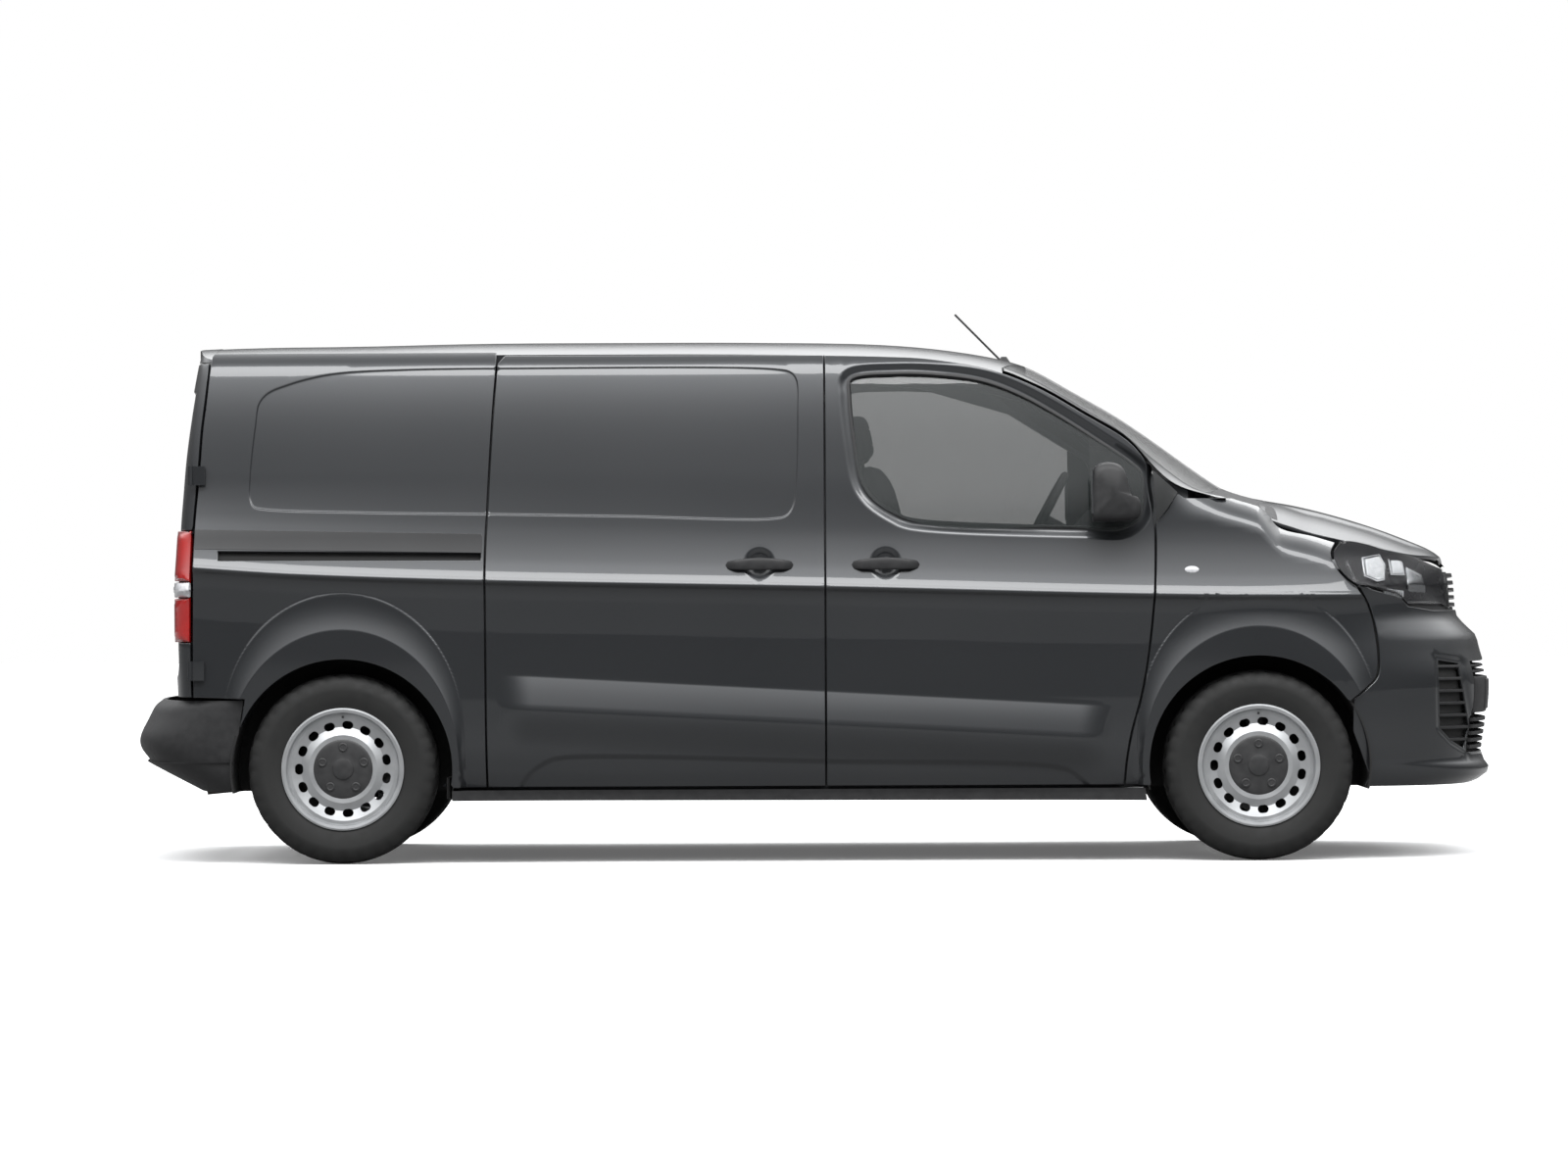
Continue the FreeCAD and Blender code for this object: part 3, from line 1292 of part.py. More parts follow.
repeaters = []
for name, side in SIDES:
    spot = V(half_length * 0.538, side * (side_half(half_length * 0.538, height * 0.552) - 4.0), height * 0.552)
    oval = Part.makeCylinder(12.0, 12.0, spot, V(0, side, 0))
    for end in (-1, 1):
        oval = oval.fuse(Part.makeCylinder(10.0, 12.0, spot + V(end * 12.0, 0, 0), V(0, side, 0)))
    repeaters.append(largest(oval.cut(wings)))
pair("side_repeaters", repeaters)

antenna_base = V(half_length * 0.283, 0, top_height(half_length * 0.283, 0))
mast = rod(4.0, antenna_base + V(-10.0, 0, 4.0), V(half_length * 0.210, 0, height * 1.058))
foot = Part.makeCone(26.0, 10.0, 24.0, antenna_base + V(0, 0, -4.0))
node("antenna", foot.fuse(mast).cut(roof))

# Wheels

bead_radius = rim_radius * 0.945
tyre_profile_shares = [
    (0.660, -0.907), (0.821, -1.0), (0.935, -0.916), (0.985, -0.777), (1.0, -0.516),
    (1.0, 0.516), (0.985, 0.777), (0.935, 0.916), (0.821, 1.0), (0.660, 0.907),
]
rim_outside_shares = [
    (0.0, 0.516), (0.0, 0.628), (0.356, 0.628), (0.402, 0.684), (0.557, 0.721), (0.685, 0.609),
    (0.845, 0.721), (0.900, 0.721), (0.909, 0.856), (0.927, 0.921), (0.973, 0.940), (1.0, 0.926),
    (1.0, 0.895),
]
rim_inside_shares = [
    (1.0, -0.895), (1.0, -0.926), (0.973, -0.940), (0.927, -0.921), (0.909, -0.856),
    (0.909, 0.572), (0.845, 0.609), (0.685, 0.498), (0.557, 0.609), (0.402, 0.516),
]
bead_half = tyre_half * 0.851
slot_half = 5.0
slot_radius = 14.5


def body_plane(body, role):
    return [item for item in body.Origin.OriginFeatures if item.Role == role][0]


def sketch_loop(sketch, points):
    """Closed loop of straight lines whose ends meet."""
    count = len(points)
    for index in range(count):
        a, b = points[index], points[(index + 1) % count]
        sketch.addGeometry(Part.LineSegment(V(a[0], a[1], 0), V(b[0], b[1], 0)), False)
    for index in range(count):
        sketch.addConstraint(Sketcher.Constraint("Coincident", index, 2, (index + 1) % count, 1))


def wheel_tyre(name):
    body = doc.addObject("PartDesign::Body", name)
    profile = body.newObject("Sketcher::SketchObject", name + "_profile")
    profile.AttachmentSupport = [(body_plane(body, "XY_Plane"), "")]
    profile.MapMode = "FlatFace"
    bead = [(bead_radius, -bead_half)]
    flank = [(r * wheel_radius, y * tyre_half) for r, y in tyre_profile_shares]
    sketch_loop(profile, bead + flank + [(bead_radius, bead_half)])
    profile.addConstraint(Sketcher.Constraint("DistanceX", -1, 1, 5, 1, wheel_radius))
    profile.setExpression("Constraints[%d]" % (profile.ConstraintCount - 1), "Dims.tyre_diameter / 2")
    turn = body.newObject("PartDesign::Revolution", name + "_turn")
    turn.Profile = profile
    turn.ReferenceAxis = (profile, ["V_Axis"])
    turn.Angle = 360
    body.Tip = turn
    return body


def wheel_rim(name):
    body = doc.addObject("PartDesign::Body", name)
    profile = body.newObject("Sketcher::SketchObject", name + "_profile")
    profile.AttachmentSupport = [(body_plane(body, "XY_Plane"), "")]
    profile.MapMode = "FlatFace"
    outside = [(r * rim_radius, y * tyre_half) for r, y in rim_outside_shares]
    inside = [(r * rim_radius, y * tyre_half) for r, y in rim_inside_shares]
    sketch_loop(profile, outside + [(bead_radius, bead_half), (bead_radius, -bead_half)] + inside)
    turn = body.newObject("PartDesign::Revolution", name + "_turn")
    turn.Profile = profile
    turn.ReferenceAxis = (profile, ["V_Axis"])
    turn.Angle = 360
    slots = body.newObject("Sketcher::SketchObject", name + "_slot")
    slots.AttachmentSupport = [(body_plane(body, "XZ_Plane"), "")]
    slots.MapMode = "FlatFace"
    middle, half, radius = rim_radius * 0.722, slot_half, slot_radius
    slots.addGeometry(Part.ArcOfCircle(Part.Circle(V(middle, half, 0), V(0, 0, 1), radius), 0, math.pi), False)
    slots.addGeometry(Part.ArcOfCircle(Part.Circle(V(middle, -half, 0), V(0, 0, 1), radius),
                                       math.pi, 2 * math.pi), False)
    slots.addGeometry(Part.LineSegment(V(middle + radius, -half, 0), V(middle + radius, half, 0)), False)
    slots.addGeometry(Part.LineSegment(V(middle - radius, half, 0), V(middle - radius, -half, 0)), False)
    cut = body.newObject("PartDesign::Pocket", name + "_cut")
    cut.Profile = slots
    cut.Type = 1
    cut.Midplane = True
    around = body.newObject("PartDesign::PolarPattern", name + "_around")
    around.Originals = [cut]
    around.Axis = (body_plane(body, "Y_Axis"), [""])
    around.Angle = 360
    around.setExpression("Occurrences", "Dims.slot_count")
    body.Tip = around
    return body


for end, axle in (("front", front_axle), ("rear", rear_axle)):
    for name, side in SIDES:
        spot = FreeCAD.Placement(V(axle, side * wheel_side, axle_height),
                                 FreeCAD.Rotation(V(0, 0, 1), 0 if side == LEFT else 180))
        for kind, make in (("tyre", wheel_tyre), ("rim", wheel_rim)):
            label = "%s_%s_%s" % (kind, end, name)
            body = make(label)
            body.Placement = spot
            body.Label = label
            NODES.append(body)

doc.recompute()

# Check every object, then write the pieces

for item in doc.Objects:
    if "Invalid" in item.State or "Error" in item.State:
        raise ValueError("%s did not build: %s" % (item.Name, item.State))
os.makedirs("parts", exist_ok=True)
for item in NODES:
    if not item.Shape.isValid():
        raise ValueError(item.Label + " is not valid")
    item.Shape.exportStep("parts/%s.step" % item.Label)
print(len(NODES), "pieces written")
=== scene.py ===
import math

import bpy
import bmesh
import numpy as np
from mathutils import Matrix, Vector
from mathutils.geometry import delaunay_2d_cdt
from mathutils.kdtree import KDTree


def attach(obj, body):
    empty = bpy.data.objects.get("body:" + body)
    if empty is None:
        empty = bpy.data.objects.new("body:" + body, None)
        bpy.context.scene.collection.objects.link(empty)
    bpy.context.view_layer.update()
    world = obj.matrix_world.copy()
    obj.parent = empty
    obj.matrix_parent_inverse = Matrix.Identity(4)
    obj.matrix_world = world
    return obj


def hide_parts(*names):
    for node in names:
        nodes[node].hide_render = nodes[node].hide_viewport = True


# The looks of a panel van. Metres; X forward, Y to the van's left, Z up.

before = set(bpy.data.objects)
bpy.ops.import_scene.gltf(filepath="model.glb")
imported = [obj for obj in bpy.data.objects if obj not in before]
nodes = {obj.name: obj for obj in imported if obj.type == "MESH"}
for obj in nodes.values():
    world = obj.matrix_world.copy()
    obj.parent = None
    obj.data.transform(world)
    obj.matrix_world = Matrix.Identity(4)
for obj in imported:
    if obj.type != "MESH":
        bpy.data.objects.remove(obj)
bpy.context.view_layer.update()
scene = bpy.context.scene
scene.view_settings.view_transform = "Standard"

# Camera, placed where the photograph was taken from

CAMERA_X = -0.117
CAMERA_BACK = 23.0
CAMERA_HEIGHT = 0.982
LENS, SENSOR = 141.9, 36.0
TILT = 0.0044
CLIP_END = 200.0

camera_data = bpy.data.cameras.new("camera")
camera = bpy.data.objects.new("camera", camera_data)
scene.collection.objects.link(camera)
camera_data.lens = LENS
camera_data.sensor_width = SENSOR
camera_data.clip_end = CLIP_END
camera.location = (CAMERA_X, -CAMERA_BACK, CAMERA_HEIGHT)
camera.rotation_euler = (math.radians(90.0), TILT, 0.0)
scene.camera = camera

# Shader nodes


def tune(node, **values):
    """Set a node's inputs; an underscore in a name stands for a space."""
    for key, value in values.items():
        node.inputs[key.replace("_", " ")].default_value = value


def add(tree, kind, **values):
    """A new shader node, with its inputs set."""
    node = tree.nodes.new("ShaderNode" + kind)
    tune(node, **values)
    return node


def ramp(tree, source, stops):
    """Colour that runs through stops of (place, colour)."""
    node = add(tree, "ValToRGB")
    elements = node.color_ramp.elements
    while len(elements) < len(stops):
        elements.new(0.5)
    for element, (place, colour) in zip(elements, stops):
        element.position = place
        element.color = (*colour, 1.0)
    tree.links.new(source, node.inputs["Fac"])
    return node.outputs["Color"]


def noise(tree, scale, detail=3.0):
    """Noise over the object's own coordinates."""
    node = add(tree, "TexNoise", Scale=scale, Detail=detail, Roughness=0.5)
    tree.links.new(add(tree, "TexCoord").outputs["Object"], node.inputs["Vector"])
    return node.outputs["Fac"]


def bump(tree, shader, source, strength, distance):
    """Bump the shader by a source."""
    node = add(tree, "Bump", Strength=strength, Distance=distance)
    tree.links.new(source, node.inputs["Height"])
    tree.links.new(node.outputs["Normal"], shader.inputs["Normal"])


def roughen(tree, shader, source, low, high, start=0.0, end=1.0):
    """Roughness that follows a noise from low to high."""
    node = add(tree, "MapRange", From_Min=start, From_Max=end, To_Min=low, To_Max=high)
    tree.links.new(source, node.inputs["Value"])
    tree.links.new(node.outputs["Result"], shader.inputs["Roughness"])


def seen_and_lit(tree, lit, seen, surface):
    """One shader for the light that is given, and one for what is seen, also through glass."""
    path = add(tree, "LightPath")
    either = add(tree, "Math")
    either.operation = "MAXIMUM"
    mix = add(tree, "MixShader")
    tree.links.new(path.outputs["Is Camera Ray"], either.inputs[0])
    tree.links.new(path.outputs["Is Transmission Ray"], either.inputs[1])
    tree.links.new(either.outputs["Value"], mix.inputs["Fac"])
    tree.links.new(lit, mix.inputs[1])
    tree.links.new(seen, mix.inputs[2])
    tree.links.new(mix.outputs["Shader"], surface)


# Light: a pale studio with soft boxes above and beside the van

WHITE = (1.0, 1.0, 1.0, 1.0)
SKY_LEVEL = 0.42
SKY_STOPS = [(0.0, 0.20), (0.12, 0.33), (0.25, 0.85), (0.34, 1.9), (0.46, 3.8), (0.62, 5.4), (0.82, 5.0),
             (1.0, 2.0)]
SKY_TINT = (0.98, 0.99, 1.0)

world = bpy.data.worlds.new("studio")
scene.world = world
world.use_nodes = True
sky = world.node_tree
sky_light = sky.nodes["Background"]
sky_light.inputs["Strength"].default_value = SKY_LEVEL
sky_split = add(sky, "SeparateXYZ")
sky.links.new(add(sky, "TexCoord").outputs["Generated"], sky_split.inputs["Vector"])
sky_stops = [(place, [level * tint for tint in SKY_TINT]) for place, level in SKY_STOPS]
sky.links.new(ramp(sky, sky_split.outputs["Z"], sky_stops), sky_light.inputs["Color"])
sky_plain = add(sky, "Background", Color=WHITE)
seen_and_lit(sky, sky_light.outputs["Background"], sky_plain.outputs["Background"],
             sky.nodes["World Output"].inputs["Surface"])


def soft_box(name, place, aim, width, depth, power):
    """A rectangular lamp aimed at a point."""
    data = bpy.data.lights.new(name, "AREA")
    data.shape = "RECTANGLE"
    data.size = width
    data.size_y = depth
    data.energy = power
    lamp = bpy.data.objects.new(name, data)
    scene.collection.objects.link(lamp)
    lamp.location = place
    lamp.rotation_euler = (Vector(aim) - Vector(place)).to_track_quat("-Z", "Y").to_euler()


soft_box("near_light", (0, -4.25, 5.4), (0, -0.96, 1.0), 9.5, 1.9, 380.0)
soft_box("far_light", (0, 3.2, 5.6), (0, 0, 0.9), 9.0, 1.8, 150.0)

# Materials

GRAIN = (0.3, 0.7)
SATIN_COAT, CLEAR_COAT, GLASS_COAT = 0.04, 0.03, 0.01
FINE_DETAIL = 4.0
FLAKE_SCALE, FLAKE_SHARE = 1400.0, 0.10
RIPPLE = (3.0, 0.04, 0.002)
HAZE = (0.02, 0.06)


def material(name):
    """A new material, its node tree and its shader."""
    made = bpy.data.materials.new(name)
    made.use_nodes = True
    return made, made.node_tree, made.node_tree.nodes["Principled BSDF"]


def finish(name, dark, light, scale, rough=(0.4, 0.5), metallic=0.0, bumps=None, coat=0.0, specular=0.5):
    """A surface whose colour and roughness drift between two values, with a fine bump."""
    made, tree, shader = material(name)
    grain = noise(tree, scale)
    colour = ramp(tree, grain, list(zip(GRAIN, (dark, light))))
    tree.links.new(colour, shader.inputs["Base Color"])
    roughen(tree, shader, grain, *rough, *GRAIN)
    tune(shader, Metallic=metallic, Coat_Weight=coat, Coat_Roughness=SATIN_COAT, Specular_IOR_Level=specular)
    if bumps:
        bump_scale, strength, distance = bumps
        bump(tree, shader, noise(tree, bump_scale, FINE_DETAIL), strength, distance)
    return made


def paint(name, dark, light):
    """Metallic paint: flake in the base under a clear coat with a faint ripple."""
    made, tree, shader = material(name)
    colour = ramp(tree, noise(tree, 1.2, 2.0), list(zip(GRAIN, (dark, light))))
    flake = add(tree, "TexVoronoi", Scale=FLAKE_SCALE)
    tree.links.new(add(tree, "TexCoord").outputs["Object"], flake.inputs["Vector"])
    tint = add(tree, "Mix", Factor=FLAKE_SHARE)
    tint.data_type = "RGBA"
    tint.blend_type = "OVERLAY"
    tree.links.new(colour, tint.inputs["A"])
    tree.links.new(flake.outputs["Color"], tint.inputs["B"])
    tree.links.new(tint.outputs["Result"], shader.inputs["Base Color"])
    tune(shader, Metallic=0.55, Roughness=0.34, Coat_Weight=1.0, Coat_Roughness=CLEAR_COAT)
    ripple_scale, strength, distance = RIPPLE
    bump(tree, shader, noise(tree, ripple_scale, 1.0), strength, distance)
    return made


def glass(name, colour, alpha):
    """Tinted safety glass, thin enough to show what is behind it without bending it."""
    made, tree, shader = material(name)
    tune(shader, Base_Color=(*colour, 1.0), Alpha=alpha, Coat_Weight=1.0, Coat_Roughness=GLASS_COAT)
    roughen(tree, shader, noise(tree, 6.0, 2.0), *HAZE)
    return made


FINISHES = {
    "body_paint": paint("body_paint", (0.026, 0.028, 0.031), (0.031, 0.033, 0.036)),
    "body_inner": finish("body_inner", (0.035, 0.038, 0.042), (0.05, 0.053, 0.057), 8.0, (0.4, 0.55)),
    "black_trim": finish("black_trim", (0.012, 0.012, 0.013), (0.020, 0.020, 0.021), 40.0, (0.5, 0.62),
                         bumps=(900.0, 0.25, 0.0004)),
    "cap_grey": finish("cap_grey", (0.022, 0.022, 0.023), (0.034, 0.034, 0.035), 30.0, (0.42, 0.52),
                       bumps=(700.0, 0.15, 0.0003)),
    "gloss_black": finish("gloss_black", (0.006, 0.006, 0.007), (0.009, 0.009, 0.010), 6.0, (0.12, 0.18),
                          coat=0.6),
    "glass": glass("tinted_glass", (0.03, 0.035, 0.035), alpha=0.40),
    "corner_tint": glass("corner_tint", (0.012, 0.013, 0.013), alpha=0.86),
    "mirror_glass": finish("mirror_glass", (0.75, 0.77, 0.80), (0.80, 0.82, 0.85), 3.0, (0.02, 0.04),
                           metallic=1.0),
    "lamp_clear": glass("lamp_clear", (0.75, 0.78, 0.80), alpha=0.35),
    "lamp_lens": glass("lamp_lens", (0.03, 0.03, 0.035), alpha=0.14),
    "bowl_black": finish("bowl_black", (0.006, 0.006, 0.007), (0.010, 0.010, 0.011), 9.0, (0.24, 0.34),
                         specular=0.3),
    "lamp_white": finish("lamp_white", (0.62, 0.64, 0.66), (0.80, 0.82, 0.84), 60.0, (0.10, 0.22), coat=0.8,
                         bumps=(400.0, 0.3, 0.0006)),
    "lamp_chrome": finish("lamp_chrome", (0.34, 0.35, 0.36), (0.46, 0.47, 0.48), 20.0, (0.12, 0.2),
                          metallic=1.0),
    "lamp_frost": finish("lamp_frost", (0.48, 0.48, 0.50), (0.66, 0.66, 0.68), 90.0, (0.10, 0.2), coat=0.8,
                         bumps=(300.0, 0.4, 0.0008)),
    "lamp_red": finish("lamp_red", (0.30, 0.006, 0.006), (0.42, 0.012, 0.010), 12.0, (0.10, 0.16), coat=1.0),
    "wheel_silver": finish("wheel_silver", (0.42, 0.43, 0.44), (0.50, 0.51, 0.52), 14.0, (0.34, 0.42),
                           metallic=0.75, bumps=(500.0, 0.06, 0.0004)),
    "tyre": finish("tyre_rubber", (0.007, 0.007, 0.007), (0.013, 0.013, 0.0125), 30.0, (0.62, 0.78),
                   bumps=(260.0, 0.25, 0.0006)),
    "chassis": finish("chassis", (0.016, 0.016, 0.017), (0.034, 0.033, 0.032), 18.0, (0.5, 0.7),
                      bumps=(180.0, 0.2, 0.0006)),
    "engine": finish("engine", (0.05, 0.05, 0.052), (0.12, 0.12, 0.12), 10.0, (0.4, 0.6), metallic=0.5),
    "exhaust": finish("exhaust", (0.16, 0.14, 0.12), (0.30, 0.29, 0.27), 9.0, (0.35, 0.6), metallic=0.9),
    "seat_cloth": finish("seat_cloth", (0.022, 0.023, 0.026), (0.045, 0.046, 0.050), 600.0, (0.85, 0.95),
                         bumps=(1500.0, 0.5, 0.0006)),
    "dash_plastic": finish("dash_plastic", (0.016, 0.016, 0.017), (0.024, 0.024, 0.025), 30.0, (0.6, 0.75),
                           bumps=(900.0, 0.35, 0.0005)),
    "liner": finish("liner", (0.010, 0.010, 0.010), (0.018, 0.018, 0.018), 25.0, (0.8, 0.92),
                    bumps=(300.0, 0.3, 0.0008)),
}


def mesh_object(name, points, faces):
    """An object in the scene from points and faces."""
    data = bpy.data.meshes.new(name)
    data.from_pydata([tuple(point) for point in points], [], faces)
    data.update()
    piece = bpy.data.objects.new(name, data)
    scene.collection.objects.link(piece)
    return piece


def dress(piece, slot):
    """Give a piece the one finish of its slot."""
    piece.data.materials.clear()
    piece.data.materials.append(FINISHES[slot])
    return piece


for name, piece in nodes.items():
    for index, held in enumerate(piece.data.materials):
        key = held.name.split(".")[0]
        if key in FINISHES:
            piece.data.materials[index] = FINISHES[key]

# Master sizes and curves, the same as in the part's source, in metres

HALF = 2.490
WIDE = 0.960
TALL = 1.887
WHEEL = 0.341
FRONT_AXLE = HALF - 0.912
REAR_AXLE = FRONT_AXLE - 3.275
WHEEL_SIDE = 0.8135
ARCH = WHEEL + 0.052
GAP = 0.006
RIGHT, LEFT = -1, 1
SIDES = (("right", RIGHT), ("left", LEFT))

SECTION = [
    (0.132, 0.930), (0.175, 0.953), (0.230, 0.968), (0.300, 0.972), (0.424, 0.970), (0.485, 0.974),
    (0.512, 0.985), (0.522, 1.0), (0.532, 0.9908), (0.545, 0.9805), (0.566, 0.9667), (0.596, 0.9514),
    (0.625, 0.9398), (0.657, 0.9304), (0.742, 0.909), (0.848, 0.878), (0.912, 0.852), (0.945, 0.831),
    (0.962, 0.804), (0.975, 0.766), (0.985, 0.730),
]
CREASE_RISE = [
    (-0.894, 0.040), (-0.749, 0.027), (-0.474, 0.014), (0.010, 0.0), (0.480, -0.017), (0.620, -0.020),
]
LINING = [(0.132, 0.880), (0.318, 0.919), (0.522, 0.943), (0.742, 0.865), (0.912, 0.786), (0.975, 0.720)]
NOSE_PLAN = [(0, 0), (0, 0.35), (0.016, 0.80), (0.060, 0.97), (0.20, 1.0), (0.36, 1.0)]
TAIL_PLAN = [(0, 0), (0, 0.40), (0.0012, 0.85), (0.0008, 1.0), (0.014, 1.0), (0.060, 1.0)]
CENTRE_PROFILE = [
    (-0.904, 0.986), (-0.860, 0.991), (-0.657, 0.994), (-0.424, 0.999), (-0.191, 0.999),
    (0.042, 0.996), (0.158, 0.988), (0.216, 0.978), (0.275, 0.966), (0.304, 0.956), (0.333, 0.939),
    (0.391, 0.896), (0.449, 0.852), (0.507, 0.800), (0.565, 0.745), (0.608, 0.709), (0.652, 0.691),
    (0.710, 0.677), (0.768, 0.658), (0.827, 0.634), (0.885, 0.605), (0.914, 0.588), (0.928, 0.574),
    (0.943, 0.549),
]
CROWN = [
    (-0.904, 0.040), (0.200, 0.040), (0.320, 0.022), (0.600, 0.020), (0.680, 0.036), (0.943, 0.030),
]
BUMPER_NOSE = [
    (0.136, 0.965), (0.154, 0.994), (0.168, 0.998), (0.191, 0.986), (0.266, 0.993), (0.330, 0.996),
    (0.399, 0.984), (0.423, 0.979), (0.440, 0.966), (0.465, 0.950), (0.515, 0.947), (0.549, 0.943),
    (0.574, 0.928),
]
CORNER_NOSE = [(0.136, 0.985), (0.340, 0.985), (0.480, 0.945), (0.574, 0.935)]
REAR_EDGE = [
    (0.140, 0.926), (0.321, 0.928), (0.418, 0.931), (0.635, 0.927), (0.712, 0.923), (0.764, 0.920),
    (0.860, 0.911), (0.968, 0.898), (0.986, 0.896),
]
BONNET_LINE = [
    (0.560, 0.700), (0.637, 0.675), (0.668, 0.634), (0.717, 0.617), (0.751, 0.604), (0.930, 0.546),
]
PILLAR_LINE = [
    (-0.870, 0.776), (0.050, 0.776), (0.120, 0.772), (0.180, 0.755), (0.260, 0.715), (0.310, 0.700),
    (0.360, 0.705), (0.440, 0.745), (0.520, 0.790), (0.590, 0.825), (0.640, 0.835),
]
DOOR_TOP = [
    (0.012, 0.966), (0.100, 0.963), (0.163, 0.958), (0.253, 0.936), (0.320, 0.901), (0.388, 0.849),
    (0.447, 0.801), (0.469, 0.771), (0.476, 0.754),
]
WING_GAP = [
    (0.476, 0.754), (0.479, 0.694), (0.486, 0.640), (0.487, 0.605), (0.485, 0.516), (0.480, 0.438),
    (0.473, 0.368), (0.464, 0.308), (0.451, 0.244), (0.444, 0.190), (0.441, 0.143),
]
SLIDE_REAR = [
    (-0.460, 0.951), (-0.467, 0.817), (-0.473, 0.669), (-0.476, 0.580), (-0.476, 0.432),
    (-0.475, 0.225), (-0.474, 0.143),
]
REAR_GAP = [
    (-0.873, 0.968), (-0.879, 0.880), (-0.884, 0.822), (-0.887, 0.763), (-0.890, 0.710),
    (-0.894, 0.640), (-0.897, 0.421), (-0.896, 0.316),
]
BONNET_SIDE = [(0.637, 0.675), (0.651, 0.662), (0.668, 0.634), (0.717, 0.617), (0.751, 0.604)]
LAMP_BACK = [(0.751, 0.604), (0.741, 0.583), (0.746, 0.559), (0.761, 0.534), (0.776, 0.520)]
WING_BUMPER = [
    (0.776, 0.520), (0.794, 0.479), (0.806, 0.403), (0.804, 0.349), (0.791, 0.329), (0.768, 0.304),
]
LAMP_TOP = [
    (0.751, 0.604), (0.765, 0.608), (0.790, 0.603), (0.827, 0.589), (0.861, 0.579), (0.896, 0.561),
    (0.930, 0.546),
]
LAMP_LOW = [(0.776, 0.520), (0.782, 0.519), (0.818, 0.507), (0.840, 0.499), (0.854, 0.482), (0.930, 0.483)]
WINDOW = [
    (0.049, 0.918), (0.117, 0.930), (0.207, 0.923), (0.251, 0.911), (0.296, 0.887), (0.341, 0.854),
    (0.398, 0.806), (0.455, 0.754), (0.468, 0.735), (0.470, 0.690), (0.464, 0.650), (0.440, 0.630),
    (0.386, 0.631), (0.134, 0.648), (0.112, 0.660), (0.080, 0.689), (0.065, 0.719), (0.054, 0.797),
    (0.047, 0.886),
]
REAR_BLIND = [
    (-0.486, 0.942), (-0.600, 0.940), (-0.680, 0.935), (-0.723, 0.926), (-0.761, 0.912),
    (-0.790, 0.896), (-0.803, 0.876), (-0.808, 0.834), (-0.815, 0.741), (-0.815, 0.692),
    (-0.809, 0.677), (-0.793, 0.672), (-0.653, 0.665), (-0.486, 0.660),
]
SLIDE_BLIND = [
    (-0.450, 0.942), (-0.056, 0.938), (-0.036, 0.932), (-0.027, 0.918), (-0.025, 0.845),
    (-0.028, 0.714), (-0.033, 0.673), (-0.043, 0.656), (-0.065, 0.650), (-0.272, 0.656),
    (-0.464, 0.661),
]
CORNER_GLASS = [(0.481, 0.742), (0.519, 0.697), (0.503, 0.664), (0.489, 0.645)]
SILL_Z = TALL * 0.143
SPLIT_X = HALF * 0.0125
CREASE_SHARE = 0.522
LEDGE_TOP, LEDGE_DROP, LEDGE_TILT = 0.327, 0.062, 0.055
LEDGE_OUT, LEDGE_BACK, LEDGE_FRONT, LEDGE_FADE = 0.026, -0.462, 0.428, 0.055
FLARE_NEAR, FLARE_RISE = 0.025, 0.080
FLARE_WIDE, FLARE_SPREAD = 0.020, 0.115
FLARE_REACH = WIDE - 0.006
TUCK_TALL, TUCK_DEEP = 0.110, 0.095
TAIL_IN = 0.012
TOP_SWEEP, TOP_SWEEP_AT, CROWN_AT = 0.110, 0.78, 0.823


def curve(table, amount):
    """Smooth curve through a table of pairs, without overshoot; flat beyond its ends."""
    places, heights = np.array(table).T
    slopes = np.diff(heights) / np.diff(places)
    tangents = np.empty(len(places))
    tangents[0], tangents[-1] = slopes[0], slopes[-1]
    product = slopes[:-1] * slopes[1:]
    total = slopes[:-1] + slopes[1:]
    tangents[1:-1] = np.where(product > 0, 2 * product / np.where(product > 0, total, 1.0), 0.0)
    held = np.clip(amount, places[0], places[-1])
    index = np.clip(np.searchsorted(places, held) - 1, 0, len(places) - 2)
    span = places[index + 1] - places[index]
    t = (held - places[index]) / span
    return ((1 + 2 * t) * (1 - t) ** 2 * heights[index] + t * (1 - t) ** 2 * span * tangents[index]
            + t * t * (3 - 2 * t) * heights[index + 1] + t * t * (t - 1) * span * tangents[index + 1])


def ease(amount):
    """Smooth step from 0 to 1."""
    t = np.clip(amount, 0.0, 1.0)
    return t * t * (3 - 2 * t)


def plan_point(controls, t):
    """How far back from the end, and how far out, a plan curve is at t, as shares."""
    order = len(controls) - 1
    back = out = 0.0
    for index, (control_back, control_out) in enumerate(controls):
        weight = math.comb(order, index) * t ** index * (1 - t) ** (order - index)
        back = back + weight * control_back
        out = out + weight * control_out
    return back, out


NOSE_LINE = [tuple(float(v) for v in plan_point(NOSE_PLAN, t)) for t in np.linspace(0, 1, 25)]


def flare_band(climb):
    """Where a wheel arch's flare begins, out from the axle, and how wide it is."""
    return ARCH + FLARE_NEAR + FLARE_RISE * climb, FLARE_WIDE + FLARE_SPREAD * climb


def flare(x, z):
    """How far the wheel arches' flares carry the skin out to full width, 0 to 1."""
    best = np.zeros(np.broadcast(x, z).shape)
    for axle in (FRONT_AXLE, REAR_AXLE):
        across, up = x - axle, np.maximum(0.0, z - WHEEL)
        reach = np.hypot(across, up)
        start, width = flare_band((up / np.maximum(reach, 1e-9)) ** 2)
        share = np.clip((reach - start) / width, 0.0, 1.0)
        best = np.maximum(best, 0.88 * (1.0 - share) ** 1.7 + 0.12 * (1.0 - ease((share - 0.93) / 0.07)))
    return best


